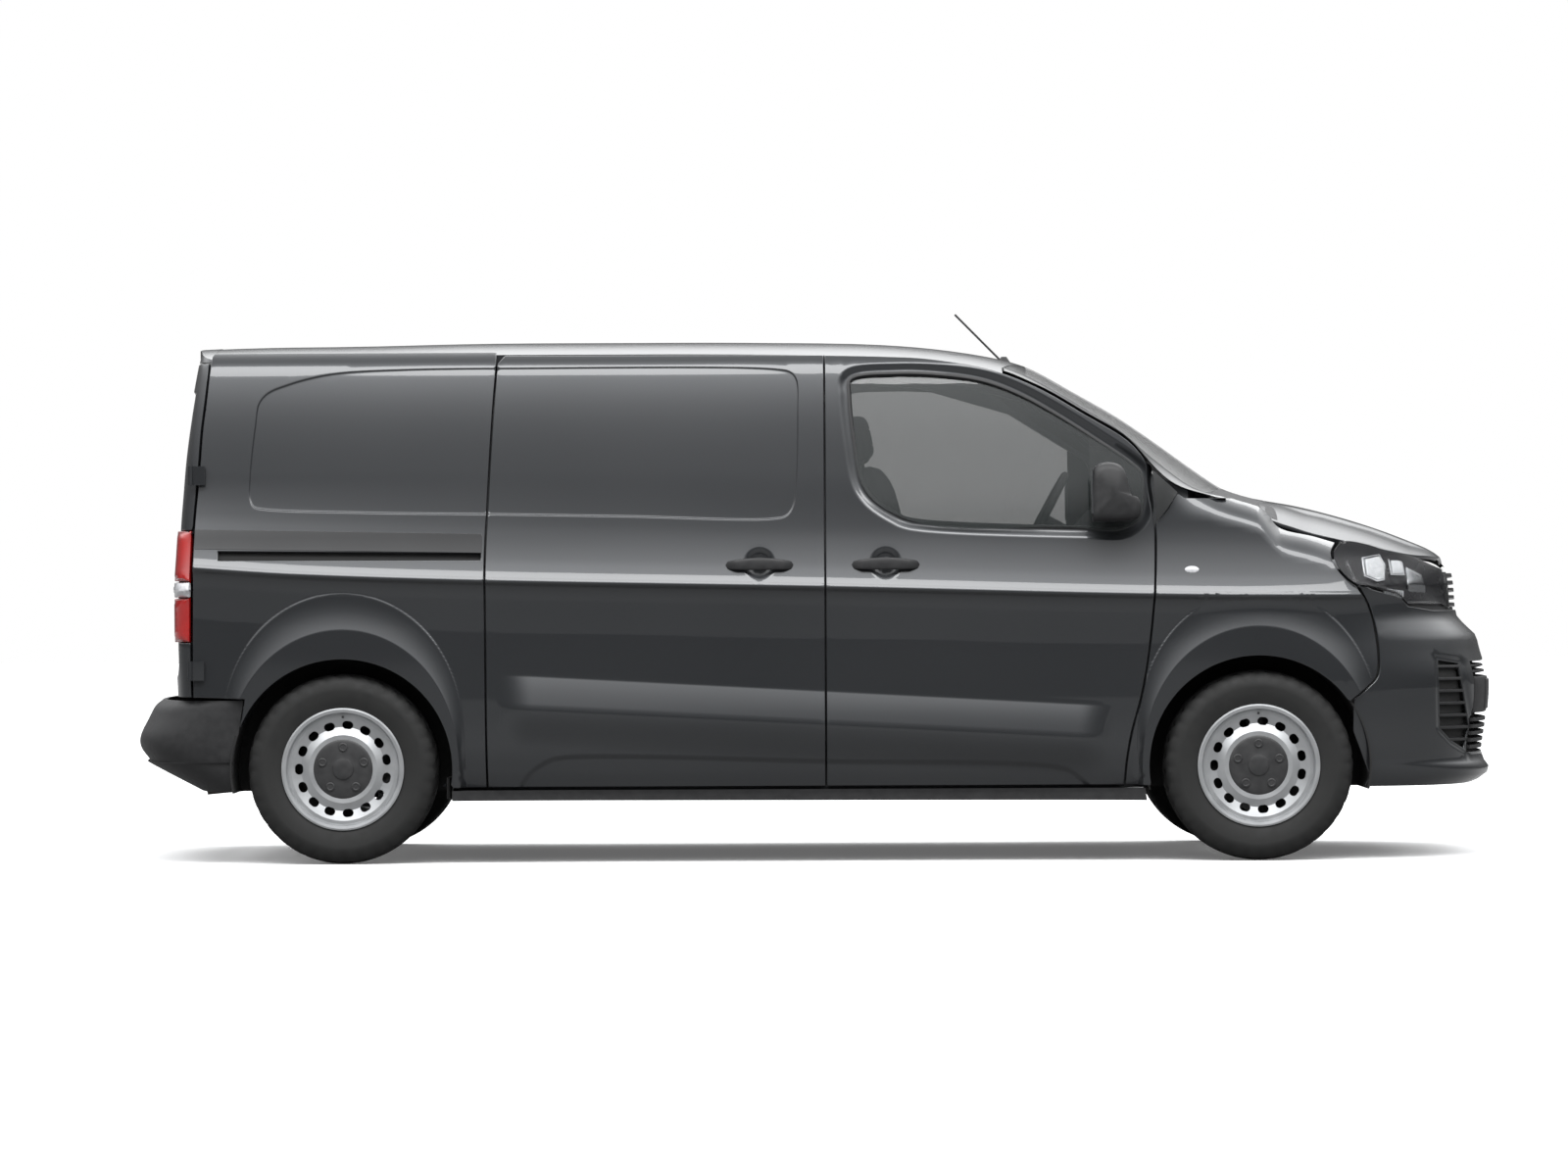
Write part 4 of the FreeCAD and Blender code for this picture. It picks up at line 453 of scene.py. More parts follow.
def ledge(x, z):
    """How far the ledge along the doors' foot stands out."""
    level = (z + LEDGE_TILT * x) / TALL
    place = x / HALF
    slope = (LEDGE_TOP - level) / LEDGE_DROP
    held = np.clip(slope, 0.0, 1.0)
    amount = (0.12 * (1 - (1 - held) ** 3) + 0.88 * held) * ease((level - 0.190) / 0.075)
    ends = ease((place - LEDGE_BACK) / LEDGE_FADE), ease((LEDGE_FRONT - place) / LEDGE_FADE)
    return LEDGE_OUT * amount * ends[0] * ends[1]


def crease_rise(x, share):
    """How far the section's crease is raised, as a share of height."""
    return ease((share - 0.36) / 0.09) * ease((0.73 - share) / 0.11) * curve(CREASE_RISE, x / HALF)


def side_half(x, z):
    """Half width of the body's outer skin."""
    share = z / TALL
    out = WIDE * curve(SECTION, share - crease_rise(x, share)) + ledge(x, z)
    out = out + flare(x, z) * np.maximum(0.0, FLARE_REACH - out)
    nose = HALF * curve(CORNER_NOSE, share)
    out = out * curve(NOSE_LINE, (nose - x) / HALF)
    edge = TALL * curve(BONNET_LINE, x / HALF)
    tuck = np.clip((z - edge + TUCK_TALL) / TUCK_TALL, 0.0, 1.0) ** 2.5
    out = out - TUCK_DEEP * tuck * ease((x - HALF * 0.50) / (HALF * 0.12))
    return out - TAIL_IN * ease((-x - HALF * 0.74) / (HALF * 0.16))


def lining_half(x, z):
    """Half width of the body side's inner face."""
    nose = HALF * curve(CORNER_NOSE, z / TALL)
    return WIDE * curve(LINING, z / TALL) * curve(NOSE_LINE, (nose - x) / HALF)


def top_height(x, y):
    """Height of the roof, windscreen and bonnet."""
    side = np.abs(y) / WIDE
    back = TOP_SWEEP * (side / TOP_SWEEP_AT) ** 2
    line = TALL * curve(CENTRE_PROFILE, (x + back) / HALF)
    return line - TALL * curve(CROWN, x / HALF) * (side / CROWN_AT) ** 4


def nose_tip(t, z):
    """Foremost point of the nose's plan curve."""
    middle = HALF * curve(BUMPER_NOSE, z / TALL)
    corner = HALF * curve(CORNER_NOSE, z / TALL)
    return middle + (corner - middle) * t * t


def tail_tip(t, z):
    """Rearmost point of the tail's plan curve, as a distance."""
    return HALF * curve(REAR_EDGE, z / TALL) + 0.0 * t


def tail_width(z):
    """Half width of the tail's plan curve."""
    return WIDE * curve(SECTION, z / TALL) - TAIL_IN


# Outlines and panels


def along(shares, across=HALF):
    """Points in metres from shares of half length and height."""
    return np.array([(a * across, b * TALL) for a, b in shares])


def strand(points, step=0.010):
    """Smooth line through points, sampled evenly; two points give a straight line."""
    points = np.asarray(points, float)
    count = len(points)
    if count == 2:
        parts = max(1, int(np.ceil(np.linalg.norm(points[1] - points[0]) / step)))
        return points[0] + (points[1] - points[0]) * np.linspace(0, 1, parts + 1)[:, None]
    before = np.vstack([2 * points[0] - points[1], points, 2 * points[-1] - points[-2]])
    line = [points[:1]]
    for index in range(count - 1):
        p0, p1, p2, p3 = before[index:index + 4]
        d1 = max(np.linalg.norm(p1 - p0) ** 0.5, 1e-6)
        d2 = max(np.linalg.norm(p2 - p1) ** 0.5, 1e-6)
        d3 = max(np.linalg.norm(p3 - p2) ** 0.5, 1e-6)
        m1 = d2 * ((p1 - p0) / d1 - (p2 - p0) / (d1 + d2) + (p2 - p1) / d2)
        m2 = d2 * ((p2 - p1) / d2 - (p3 - p1) / (d2 + d3) + (p3 - p2) / d3)
        parts = max(2, int(np.ceil(np.linalg.norm(p2 - p1) / step)))
        t = np.linspace(0, 1, parts + 1)[1:, None]
        line.append((2 * t ** 3 - 3 * t ** 2 + 1) * p1 + (t ** 3 - 2 * t ** 2 + t) * m1
                    + (-2 * t ** 3 + 3 * t ** 2) * p2 + (t ** 3 - t ** 2) * m2)
    return np.vstack(line)


def turned(loop, clockwise=False):
    """The loop run anticlockwise, or clockwise."""
    x, y = loop[:, 0], loop[:, 1]
    area = np.sum(x * np.roll(y, -1) - np.roll(x, -1) * y)
    return loop[::-1] if (area < 0) != clockwise else loop


def unit(rows):
    """Each row brought to a length of one."""
    return rows / np.maximum(np.linalg.norm(rows, axis=1), 1e-9)[:, None]


def shift(loop, inward):
    """The loop moved to its left, which is inward when it runs anticlockwise."""
    before = unit(loop - np.roll(loop, 1, axis=0))
    after = unit(np.roll(loop, -1, axis=0) - loop)
    middle = unit(before + after)
    lean = np.maximum(np.sum(middle * after, axis=1), 0.45)
    return loop + np.stack([-middle[:, 1], middle[:, 0]], axis=1) * (inward / lean)[:, None]


def loop_of(strands, grow=-GAP / 2):
    """Closed outline from strands that meet, shrunk by half a panel gap."""
    rows = [strand(points)[:-1] for points in strands]
    return shift(turned(np.vstack(rows)), -grow)


def straight(points, grow=0.0):
    """Straight-sided outline with corners at points."""
    return loop_of([[a, b] for a, b in zip(points, points[1:] + points[:1])], grow)


def box_loop(x0, x1, z0, z1):
    """Outline of an upright box."""
    return straight([(x0, z0), (x1, z0), (x1, z1), (x0, z1)])


def mirrored(loop):
    """The outline on the other side of the middle."""
    return loop * np.array((-1.0, 1.0))


def sided(loop, mirror):
    """The outline, or its mirror image where mirror is below zero."""
    return loop if mirror > 0 else mirrored(loop)


def round_loop(points, step=0.010):
    """Closed smooth outline through points."""
    points = np.asarray(points, float)
    wrapped = np.vstack([points[-2:], points, points[:2]])
    line = strand(wrapped, step)
    first = int(np.argmin(np.linalg.norm(line - points[0], axis=1)))
    after = line[first + 1:]
    last = first + 1 + int(np.argmin(np.linalg.norm(after[len(points):] - points[0], axis=1))) + len(points)
    return turned(line[first:last])


def inside(loop, points):
    """Whether each point is inside the loop."""
    x, y = points[:, 0][:, None], points[:, 1][:, None]
    x0, y0 = loop[:, 0][None], loop[:, 1][None]
    x1, y1 = np.roll(loop[:, 0], -1)[None], np.roll(loop[:, 1], -1)[None]
    cross = (y0 > y) != (y1 > y)
    rise = np.where(np.abs(y1 - y0) < 1e-12, 1e-12, y1 - y0)
    hits = cross & (x < (x1 - x0) * (y - y0) / rise + x0)
    return hits.sum(axis=1) % 2 == 1


def depth_in(loop, points):
    """Distance from the loop, above zero inside it."""
    best = np.full(len(points), 1e9)
    ends = np.roll(loop, -1, axis=0)
    for start, end in zip(loop, ends):
        run = end - start
        t = np.clip(((points - start) @ run) / max(run @ run, 1e-12), 0, 1)
        best = np.minimum(best, np.linalg.norm(points - start - t[:, None] * run, axis=1))
    return np.where(inside(loop, points), best, -best)


def within(loops, points):
    """Whether each point is inside the first loop and outside the others."""
    keep = inside(loops[0], points)
    for hole in loops[1:]:
        keep &= ~inside(hole, points)
    return keep


def fill(loops, spacing, lines=()):
    """Triangles inside the first loop and outside the others; the loops' own points come first."""
    points = [point for loop in loops for point in loop]
    edges, start = [], 0
    for loop in loops:
        count = len(loop)
        edges += [(start + index, start + (index + 1) % count) for index in range(count)]
        start += count
    fixed = len(points)
    for line in lines:
        line = np.asarray(line)
        points += list(line[within(loops, line)])
    tree = KDTree(len(points))
    for index, point in enumerate(points):
        tree.insert((point[0], point[1], 0.0), index)
    tree.balance()
    low, high = loops[0].min(axis=0), loops[0].max(axis=0)
    columns = np.arange(low[0] + spacing / 2, high[0], spacing)
    rows = np.arange(low[1] + spacing / 2, high[1], spacing)
    grid = np.stack(np.meshgrid(columns, rows, indexing="ij"), axis=-1).reshape(-1, 2)
    for point in grid[within(loops, grid)]:
        if tree.find((point[0], point[1], 0.0))[2] > spacing * 0.55:
            points.append(point)
    verts, _, faces, sources, _, _ = delaunay_2d_cdt([Vector(p) for p in points], edges, [], 0, 1e-6)
    flat = np.array([(v.x, v.y) for v in verts])
    middles = np.array([flat[list(face)].mean(axis=0) for face in faces])
    keep = within(loops, middles)
    order = {}
    for index, source in enumerate(sources):
        for origin in source:
            order[origin] = index
    ring = [order[index] for index in range(fixed)]
    return flat, [face for face, ok in zip(faces, keep) if ok], ring


ROLLED_EDGE = ((0.71, 0.29), (1.0, 1.0))


def panel(name, loops, place, slot, spacing=0.022, depth=0.012, roll=0.003, lines=(), inner=None,
          inner_slot=None, inner_spacing=0.05):
    """A sheet on a surface, its edges rolled over, with walls down to its inner face."""
    loops = [turned(loops[0])] + [turned(loop, True) for loop in loops[1:]]
    shrunk = [shift(loop, roll) for loop in loops]
    flat, faces, ring = fill(shrunk, spacing, lines)
    points, normals = place(flat[:, 0], flat[:, 1])
    verts = list(points)
    polygons = [tuple(face) for face in faces]
    kinds = [0] * len(polygons)
    skin_count = len(polygons)
    given = list(normals)
    border = np.vstack(loops)
    behind = shift_all(loops, roll)
    base_points, base_normals = place(border[:, 0], border[:, 1])
    in_points, _ = place(behind[:, 0], behind[:, 1])
    deep = inner(border[:, 0], border[:, 1]) if inner else np.full(len(border), depth)
    rings = [ring]
    walls = [in_points + (base_points - in_points) * out - base_normals * (roll * down)
             for out, down in ROLLED_EDGE]
    walls.append(base_points - base_normals * deep[:, None])
    for spots in walls:
        rings.append(list(range(len(verts), len(verts) + len(spots))))
        verts += list(spots)
        given += [(0, 0, 0)] * len(spots)
    start = 0
    for loop in loops:
        count = len(loop)
        for near, far_ring in zip(rings, rings[1:]):
            for index in range(count):
                a, b = start + index, start + (index + 1) % count
                polygons.append((near[a], far_ring[a], far_ring[b], near[b]))
                kinds.append(0)
        start += count
    flat, faces, ring = fill(loops, inner_spacing)
    points, normals = place(flat[:, 0], flat[:, 1])
    thick = inner(flat[:, 0], flat[:, 1]) if inner else np.full(len(flat), depth)
    base = len(verts)
    verts += list(points - normals * thick[:, None])
    given += list(-normals)
    for face in faces:
        polygons.append(tuple(base + index for index in reversed(face)))
        kinds.append(1)
    data = bpy.data.meshes.new(name)
    data.from_pydata([tuple(v) for v in verts], [], polygons)
    data.update()
    facing = sum(Vector(given[face.vertices[0]]).dot(face.normal) * face.area
                 for face in data.polygons[:skin_count])
    if facing < 0:
        data.flip_normals()
    data.polygons.foreach_set("use_smooth", [True] * len(polygons))
    data.polygons.foreach_set("material_index", kinds)
    data.materials.append(FINISHES[slot])
    data.materials.append(FINISHES[inner_slot or slot])
    data.normals_split_custom_set_from_vertices([tuple(n) for n in given])
    piece = bpy.data.objects.new(name, data)
    scene.collection.objects.link(piece)
    return piece


def shift_all(loops, inward):
    """The points of all the loops, each moved inward."""
    return np.vstack([shift(loop, inward) for loop in loops])


STEP = 0.0015


def side_place(side, presses=()):
    """Points and normals of the body side; presses are (loop, depth, width of its step)."""
    def face(x, z):
        out = side_half(x, z)
        for loop, depth, width in presses:
            out = out - depth * ease(depth_in(loop, np.stack([x, z], axis=1)) / width)
        return out

    def place(x, z):
        out = face(x, z)
        along_x = (face(x + STEP, z) - face(x - STEP, z)) / (2 * STEP)
        along_z = (face(x, z + STEP) - face(x, z - STEP)) / (2 * STEP)
        normals = unit(np.stack([-along_x, np.full(len(x), float(side)), -along_z], axis=1))
        return np.stack([x, side * out, z], axis=1), normals
    return place


def top_place(press=None):
    """Points and normals of the roof, windscreen and bonnet; press is a depth."""
    def face(x, y):
        level = top_height(x, y)
        return level - press(x, y) if press else level

    def place(x, y):
        level = face(x, y)
        along_x = (face(x + STEP, y) - face(x - STEP, y)) / (2 * STEP)
        along_y = (face(x, y + STEP) - face(x, y - STEP)) / (2 * STEP)
        normals = unit(np.stack([-along_x, -along_y, np.ones(len(x))], axis=1))
        return np.stack([x, y, level], axis=1), normals
    return place


def wrap_place(end, plan, tip, width=None, lift=0.0, press=None):
    """Surface wrapped round an end of the body, by turn (metres of half width) and height."""
    def spot(u, z):
        turn = u / WIDE
        t = np.abs(turn)
        across = width(z) if width else WIDE * curve(SECTION, z / TALL)
        back, out = plan_point(plan, t)
        x = tip(t, z) - HALF * back + lift
        if press:
            x = x - press(u, z)
        return np.stack([end * x, np.sign(turn) * across * out, z + 0.0 * x], axis=1)

    def place(u, z):
        points = spot(u, z)
        along_u = spot(u + STEP, z) - spot(u - STEP, z)
        along_z = spot(u, z + STEP) - spot(u, z - STEP)
        return points, unit(np.cross(along_u, along_z) * end)
    return place


def nose_place(lift=0.0, press=None):
    """The surface of the nose."""
    return wrap_place(1, NOSE_PLAN, nose_tip, lift=lift, press=press)


def tail_place(lift=0.0, press=None):
    """The surface of the tail."""
    return wrap_place(-1, TAIL_PLAN, tail_tip, tail_width, lift, press)


HALVINGS = 30


def halving(low, high, short):
    """Place between low and high at which short stops being true."""
    for _ in range(HALVINGS):
        middle = (low + high) / 2
        if short(middle):
            low = middle
        else:
            high = middle
    return (low + high) / 2


def turn_at(x, z, plan, tip):
    """Turn (in metres of half width) at which a wrapped surface reaches back to x."""
    low, high = np.zeros(len(x)), np.ones(len(x))
    for _ in range(HALVINGS):
        middle = (low + high) / 2
        back, _ = plan_point(plan, middle)
        reached = tip(middle, z) - HALF * back
        low = np.where(reached > x, middle, low)
        high = np.where(reached > x, high, middle)
    return (low + high) / 2 * WIDE


# Body sides

wing_gap = along(WING_GAP)
door_top = along(DOOR_TOP)
slide_rear = along(SLIDE_REAR)
slide_corner = np.array((HALF * -0.449, TALL * 0.968))
rear_gap = along(REAR_GAP)
window = round_loop(along(WINDOW))
flange = shift(window, -0.036)
FLANGE_DEEP, FLANGE_WIDE = 0.011, 0.028
door_loop = loop_of([door_top, wing_gap, [wing_gap[-1], (SPLIT_X, SILL_Z)], [(SPLIT_X, SILL_Z), door_top[0]]])
recess = round_loop([(-1.068, 0.262), (-1.039, 0.324), (-0.971, 0.373), (-0.916, 0.388), (0.033, 0.372),
                     (0.877, 0.344), (0.932, 0.316), (0.988, 0.250), (0.0, 0.20)])
split_top = np.array((SPLIT_X, slide_corner[1] - GAP / 2))
split_foot = (SPLIT_X, SILL_Z)
slide_loop = loop_of([[split_foot, split_top], [split_top, slide_corner], [slide_corner, slide_rear[0]],
                      slide_rear, [slide_rear[-1], split_foot]])
blind = round_loop(along(SLIDE_BLIND + REAR_BLIND[-2:0:-1]))
CREASE_LINES = (-0.070, -0.040, -0.019, -0.012, -0.006, 0.0, 0.004, 0.009, 0.014, 0.019, 0.030, 0.043, 0.060,
                0.083, 0.110)
LEDGE_LINES = (-0.12, -0.01, 0.06, 0.15, 0.27, 0.40, 0.55, 0.70, 0.85, 1.0, 1.15)
FLARE_LINES = (-0.25, -0.10, -0.03, 0.03, 0.10, 0.20, 0.35, 0.55, 0.75, 0.90, 0.94, 0.965, 0.99, 1.03, 1.15)


def crease_lines(x0, x1):
    """Lines that carry the crease along the side."""
    x = np.arange(x0, x1, 0.02)
    level = TALL * (CREASE_SHARE + curve(CREASE_RISE, x / HALF))
    return [np.stack([x, level + rise], axis=1) for rise in CREASE_LINES]


def ledge_lines(x0, x1):
    """Lines that carry the ledge along the doors' foot."""
    x = np.arange(x0, x1, 0.015)
    return [np.stack([x, (LEDGE_TOP - LEDGE_DROP * share) * TALL - LEDGE_TILT * x], axis=1)
            for share in LEDGE_LINES]


def flare_lines(axle):
    """Lines that carry a wheel arch's flare."""
    turns = np.linspace(0.0, math.pi, 110)
    start, width = flare_band(np.sin(turns) ** 2)
    lines = []
    for share in FLARE_LINES:
        reach = start + share * width
        lines.append(np.stack([axle + reach * np.cos(turns), WHEEL + reach * np.sin(turns)], axis=1))
    return lines


def wall_depth(x, z):
    """From the body side to its inner face."""
    return side_half(x, z) - lining_half(x, z)


def ring_lines(loop, width):
    """Lines that carry a step pressed along an outline, and hold it off what lies beside it."""
    return [shift(loop, width * share) for share in (-0.9, -0.1, 0.25, 0.5, 0.75, 1.1, 1.9)]


def press_lines(press):
    """Lines that carry one of the presses that side_place takes."""
    loop, _, width = press
    return ring_lines(loop, width)


def circle_loop(x, z, radius, count=40):
    """Round outline."""
    turns = np.linspace(0, 2 * math.pi, count, endpoint=False)
    return np.stack([x + radius * np.cos(turns), z + radius * np.sin(turns)], axis=1)


def dish_lines(x, z):
    """Lines that carry the round dish behind a handle."""
    return [circle_loop(x, z, DISH - back, 36) for back in (0.0, 0.006, 0.014, 0.024, 0.036, 0.050)]


DISH_Z = TALL * 0.566
DISH = 0.063
DISH_PRESS = (0.014, 0.040)
DOOR_HANDLE_X, SLIDE_HANDLE_X = HALF * 0.099, HALF * -0.082
BLIND_PRESS = (blind, 0.004, 0.006)
RECESS_PRESS = (recess, 0.007, 0.020)
for name, side in SIDES:
    dish = circle_loop(DOOR_HANDLE_X, DISH_Z, DISH)
    place = side_place(side, [(flange, FLANGE_DEEP, FLANGE_WIDE), RECESS_PRESS, (dish, *DISH_PRESS)])
    lines = crease_lines(SPLIT_X, 1.20) + ring_lines(flange, FLANGE_WIDE) + press_lines(RECESS_PRESS)
    lines += dish_lines(DOOR_HANDLE_X, DISH_Z) + ledge_lines(SPLIT_X, 1.20) + flare_lines(FRONT_AXLE)
    door = panel("front_door_skin_" + name, [door_loop, window], place, "body_paint", lines=lines,
                 inner=wall_depth, inner_slot="dash_plastic")
    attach(door, "front_door_" + name)
    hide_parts("front_door_" + name)

dish = circle_loop(SLIDE_HANDLE_X, DISH_Z, DISH)
place = side_place(RIGHT, [BLIND_PRESS, RECESS_PRESS, (dish, *DISH_PRESS)])
lines = crease_lines(-1.19, SPLIT_X) + press_lines(BLIND_PRESS) + press_lines(RECESS_PRESS)
lines += ledge_lines(-1.19, SPLIT_X) + flare_lines(REAR_AXLE)
lines += dish_lines(SLIDE_HANDLE_X, DISH_Z)
slide = panel("sliding_door_skin", [slide_loop], place, "body_paint", lines=lines, inner=wall_depth,
              inner_slot="body_inner")
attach(slide, "body")
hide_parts("sliding_door")

bumper_edge = np.array((HALF * -0.822, TALL * 0.313))
bumper_foot = np.array((HALF * -0.843, SILL_Z))
roof_end = np.array((HALF * -0.870, TALL * 0.975))


def arch_cut(loop, axle):
    """The outline with a wheel arch taken out of it."""
    centre = np.array((axle, WHEEL))
    away = np.linalg.norm(loop - centre, axis=1)
    hidden = away < ARCH
    if not hidden.any():
        return loop
    first = int(np.argmax(~hidden & np.roll(hidden, -1)))
    rolled = np.roll(loop, -first, axis=0)
    gone = np.roll(hidden, -first)
    last = len(gone) - int(np.argmax(gone[::-1]))
    a, b = rolled[0] - centre, rolled[last % len(rolled)] - centre
    start, end = math.atan2(a[1], a[0]), math.atan2(b[1], b[0])
    if start < -math.pi / 2:
        start += 2 * math.pi
    if end < -math.pi / 2:
        end += 2 * math.pi
    turns = np.linspace(start, end, max(3, int(abs(end - start) * ARCH / 0.010)))[1:-1]
    arc = centre + ARCH * np.stack([np.cos(turns), np.sin(turns)], axis=1)
    return np.vstack([rolled[:1], arc, rolled[last:]])


for name, side in SIDES:
    front = slide_rear if side == RIGHT else np.array([(SPLIT_X, TALL * 0.966), (SPLIT_X, SILL_Z)])
    corner = np.array((front[0][0], roof_end[1]))
    loop = loop_of([[corner, front[0]], front, [front[-1], bumper_foot], [bumper_foot, bumper_edge],
                    [bumper_edge, rear_gap[-1]], rear_gap[::-1], [rear_gap[0], roof_end], [roof_end, corner]])
    loop = arch_cut(loop, REAR_AXLE)
    presses = [BLIND_PRESS]
    lines = crease_lines(-2.22, float(front[0][0])) + press_lines(BLIND_PRESS) + flare_lines(REAR_AXLE)
    if side == LEFT:
        presses.append(RECESS_PRESS)
        lines += press_lines(RECESS_PRESS) + ledge_lines(-1.30, SPLIT_X)
    holes = []
    if side == RIGHT:
        low, high = TALL * 0.577, TALL * 0.589
        holes.append(straight([(-2.138, low), (-1.200, low - 0.002), (-1.200, high), (-2.138, high + 0.010)]))
    quarter = panel("quarter_skin_" + name, [loop] + holes, side_place(side, presses), "body_paint",
                    lines=lines, inner=wall_depth, inner_slot="body_inner")
    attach(quarter, "body")
    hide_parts("quarter_panel_" + name)

corner_glass = along(CORNER_GLASS)
cowl_corner = np.array((HALF * 0.600, TALL * 0.690))
glass_corner = np.array((HALF * 0.530, TALL * 0.690))
wing_top = along(BONNET_SIDE)
lamp_back = along(LAMP_BACK)
wing_bumper = along(WING_BUMPER)
lower_wing = wing_gap[2:]
wing_foot = (FRONT_AXLE, SILL_Z)
wing_loop = loop_of([lower_wing, [lower_wing[-1], wing_foot], [wing_foot, wing_bumper[-1]],
                     wing_bumper[::-1], lamp_back[::-1], wing_top[::-1], [wing_top[0], cowl_corner],
                     [cowl_corner, glass_corner],
                     [glass_corner, corner_glass[1], corner_glass[2], corner_glass[3], lower_wing[0]]])
wing_loop = arch_cut(wing_loop, FRONT_AXLE)
for name, side in SIDES:
    wing = panel("wing_skin_" + name, [wing_loop], side_place(side), "body_paint",
                 lines=crease_lines(1.2, 2.1) + flare_lines(FRONT_AXLE), depth=0.008)
    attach(wing, "body")
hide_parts("wings")

# Small parts made of rings of points

SHARP = 0.7


def lofted(name, rings, slot, closed=True, capped=True):
    """A tube through rings of equal count; closed rings, with its ends filled."""
    count = len(rings[0])
    verts = [tuple(point) for ring in rings for point in ring]
    faces = []
    for row in range(len(rings) - 1):
        for index in range(count if closed else count - 1):
            a, b = row * count + index, row * count + (index + 1) % count
            faces.append((a, b, b + count, a + count))
    if capped:
        faces.append(tuple(reversed(range(count))))
        last = (len(rings) - 1) * count
        faces.append(tuple(range(last, last + count)))
    piece = mesh_object(name, verts, faces)
    tidy_mesh(piece)
    dress(piece, slot)
    return piece


def tidy_mesh(piece):
    """Join doubled points, face the walls outward and keep sharp edges sharp."""
    mesh = bmesh.new()
    mesh.from_mesh(piece.data)
    bmesh.ops.remove_doubles(mesh, verts=mesh.verts, dist=1e-6)
    bmesh.ops.recalc_face_normals(mesh, faces=mesh.faces)
    mesh.to_mesh(piece.data)
    mesh.free()
    piece.data.polygons.foreach_set("use_smooth", [True] * len(piece.data.polygons))
    piece.data.set_sharp_from_angle(angle=SHARP)


def bead(name, loop, place, section, slot):
    """A strip along a closed outline on a surface; section is (inward, lift) pairs."""
    rings = []
    for inward, lift in section:
        moved = shift(loop, inward)
        points, normals = place(moved[:, 0], moved[:, 1])
        rings.append(points + normals * lift)
    count = len(loop)
    verts = np.vstack(rings)
    faces = []
    for row in range(len(rings)):
        after = (row + 1) % len(rings)
        for index in range(count):
            a, b = row * count + index, row * count + (index + 1) % count
            c, d = after * count + (index + 1) % count, after * count + index
            faces.append((a, b, c, d))
    piece = mesh_object(name, verts, faces)
    tidy_mesh(piece)
    dress(piece, slot)
    return piece


def spun(name, profile, centre, side, slot, segments=96, wobble=None):
    """Turned about a wheel's axle; profile is (radius, outward) pairs from the inside out."""
    x, y, z = centre
    rings = []
    for step in range(segments):
        turn = 2 * math.pi * step / segments
        ring = []
        for index, (radius, out) in enumerate(profile):
            r = radius + (wobble(step, index) if wobble else 0.0)
            ring.append((x + r * math.cos(turn), y + side * out, z + r * math.sin(turn)))
        rings.append(ring)
    rings.append(rings[0])
    return lofted(name, rings, slot, closed=False, capped=False)


def joined(name, pieces):
    """One object from several, with their materials."""
    verts, faces, kinds, slots = [], [], [], []
    for piece in pieces:
        start = len(verts)
        verts += [tuple(vertex.co) for vertex in piece.data.vertices]
        for entry in piece.data.materials:
            if entry not in slots:
                slots.append(entry)
        for face in piece.data.polygons:
            faces.append(tuple(start + index for index in face.vertices))
            kinds.append(slots.index(piece.data.materials[face.material_index]))
    made = mesh_object(name, verts, faces)
    for entry in slots:
        made.data.materials.append(entry)
    made.data.polygons.foreach_set("material_index", kinds)
    made.data.polygons.foreach_set("use_smooth", [True] * len(faces))
    made.data.set_sharp_from_angle(angle=SHARP)
    for piece in pieces:
        bpy.data.objects.remove(piece)
    return made


# Side repeaters on the wings

REPEATER_X, REPEATER_Z = 1.340, 1.042
REPEATER_LONG, REPEATER_TALL = 0.026, 0.013
REPEATER_RIM = 0.004
repeater_loop = round_loop([(REPEATER_X + REPEATER_LONG * math.cos(turn),
                             REPEATER_Z + REPEATER_TALL * math.sin(turn))
                            for turn in np.linspace(0, 2 * math.pi, 14, endpoint=False)], 0.004)
repeaters = []
for name, side in SIDES:
    place = side_place(side, [(shift(turned(repeater_loop), -REPEATER_RIM), -0.006, 0.014)])
    repeaters.append(panel("repeater", [repeater_loop], place, "lamp_frost", spacing=0.006, depth=0.009,
                           roll=0.0012, lines=[shift(turned(repeater_loop), REPEATER_RIM)]))
repeater = joined("side_repeater_lenses", repeaters)
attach(repeater, "body")
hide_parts("side_repeaters")

nodes["corner_glass"].data.materials[0] = FINISHES["corner_tint"]

# Window seals and the bar that splits the door glass

SAIL_X = 0.990
forward = window[:, 0] > SAIL_X
sail_start = int(np.argmax(forward & ~np.roll(forward, 1)))
sail_loop = shift(np.roll(window, -sail_start, axis=0)[:forward.sum()], -0.003)
POST_SUNK, SAIL_SUNK = 0.0030, 0.0022
post_loop = straight([(0.984, 1.175), (1.000, 1.175), (0.992, 1.528), (0.976, 1.534)])
SEAL = [(-0.004, -0.014), (-0.004, 0.001), (0.000, 0.003), (0.006, 0.002), (0.011, -0.006), (0.011, -0.014)]
for name, side in SIDES:
    place = side_place(side, [(flange, FLANGE_DEEP, FLANGE_WIDE)])
    seal = bead("window_seal_" + name, window, place, SEAL, "black_trim")
    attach(seal, "front_door_" + name)
    post = panel("window_post_" + name, [post_loop],
                 side_place(side, [(flange, FLANGE_DEEP + POST_SUNK, FLANGE_WIDE)]), "black_trim",
                 depth=0.004, roll=0.001)
    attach(post, "front_door_" + name)
    sail = panel("window_sail_" + name, [sail_loop],
                 side_place(side, [(flange, FLANGE_DEEP + SAIL_SUNK, FLANGE_WIDE)]), "black_trim",
                 depth=0.001, roll=0.0004)
    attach(sail, "front_door_" + name)

# Door handles: a curved bar over a round dish


def squared(value, power):
    """A sine or cosine pushed outward, so that a round section turns squarer."""
    return np.sign(value) * np.abs(value) ** power


HANDLE_LONG, HANDLE_TALL, HANDLE_PROUD = 0.246, 0.044, 0.027


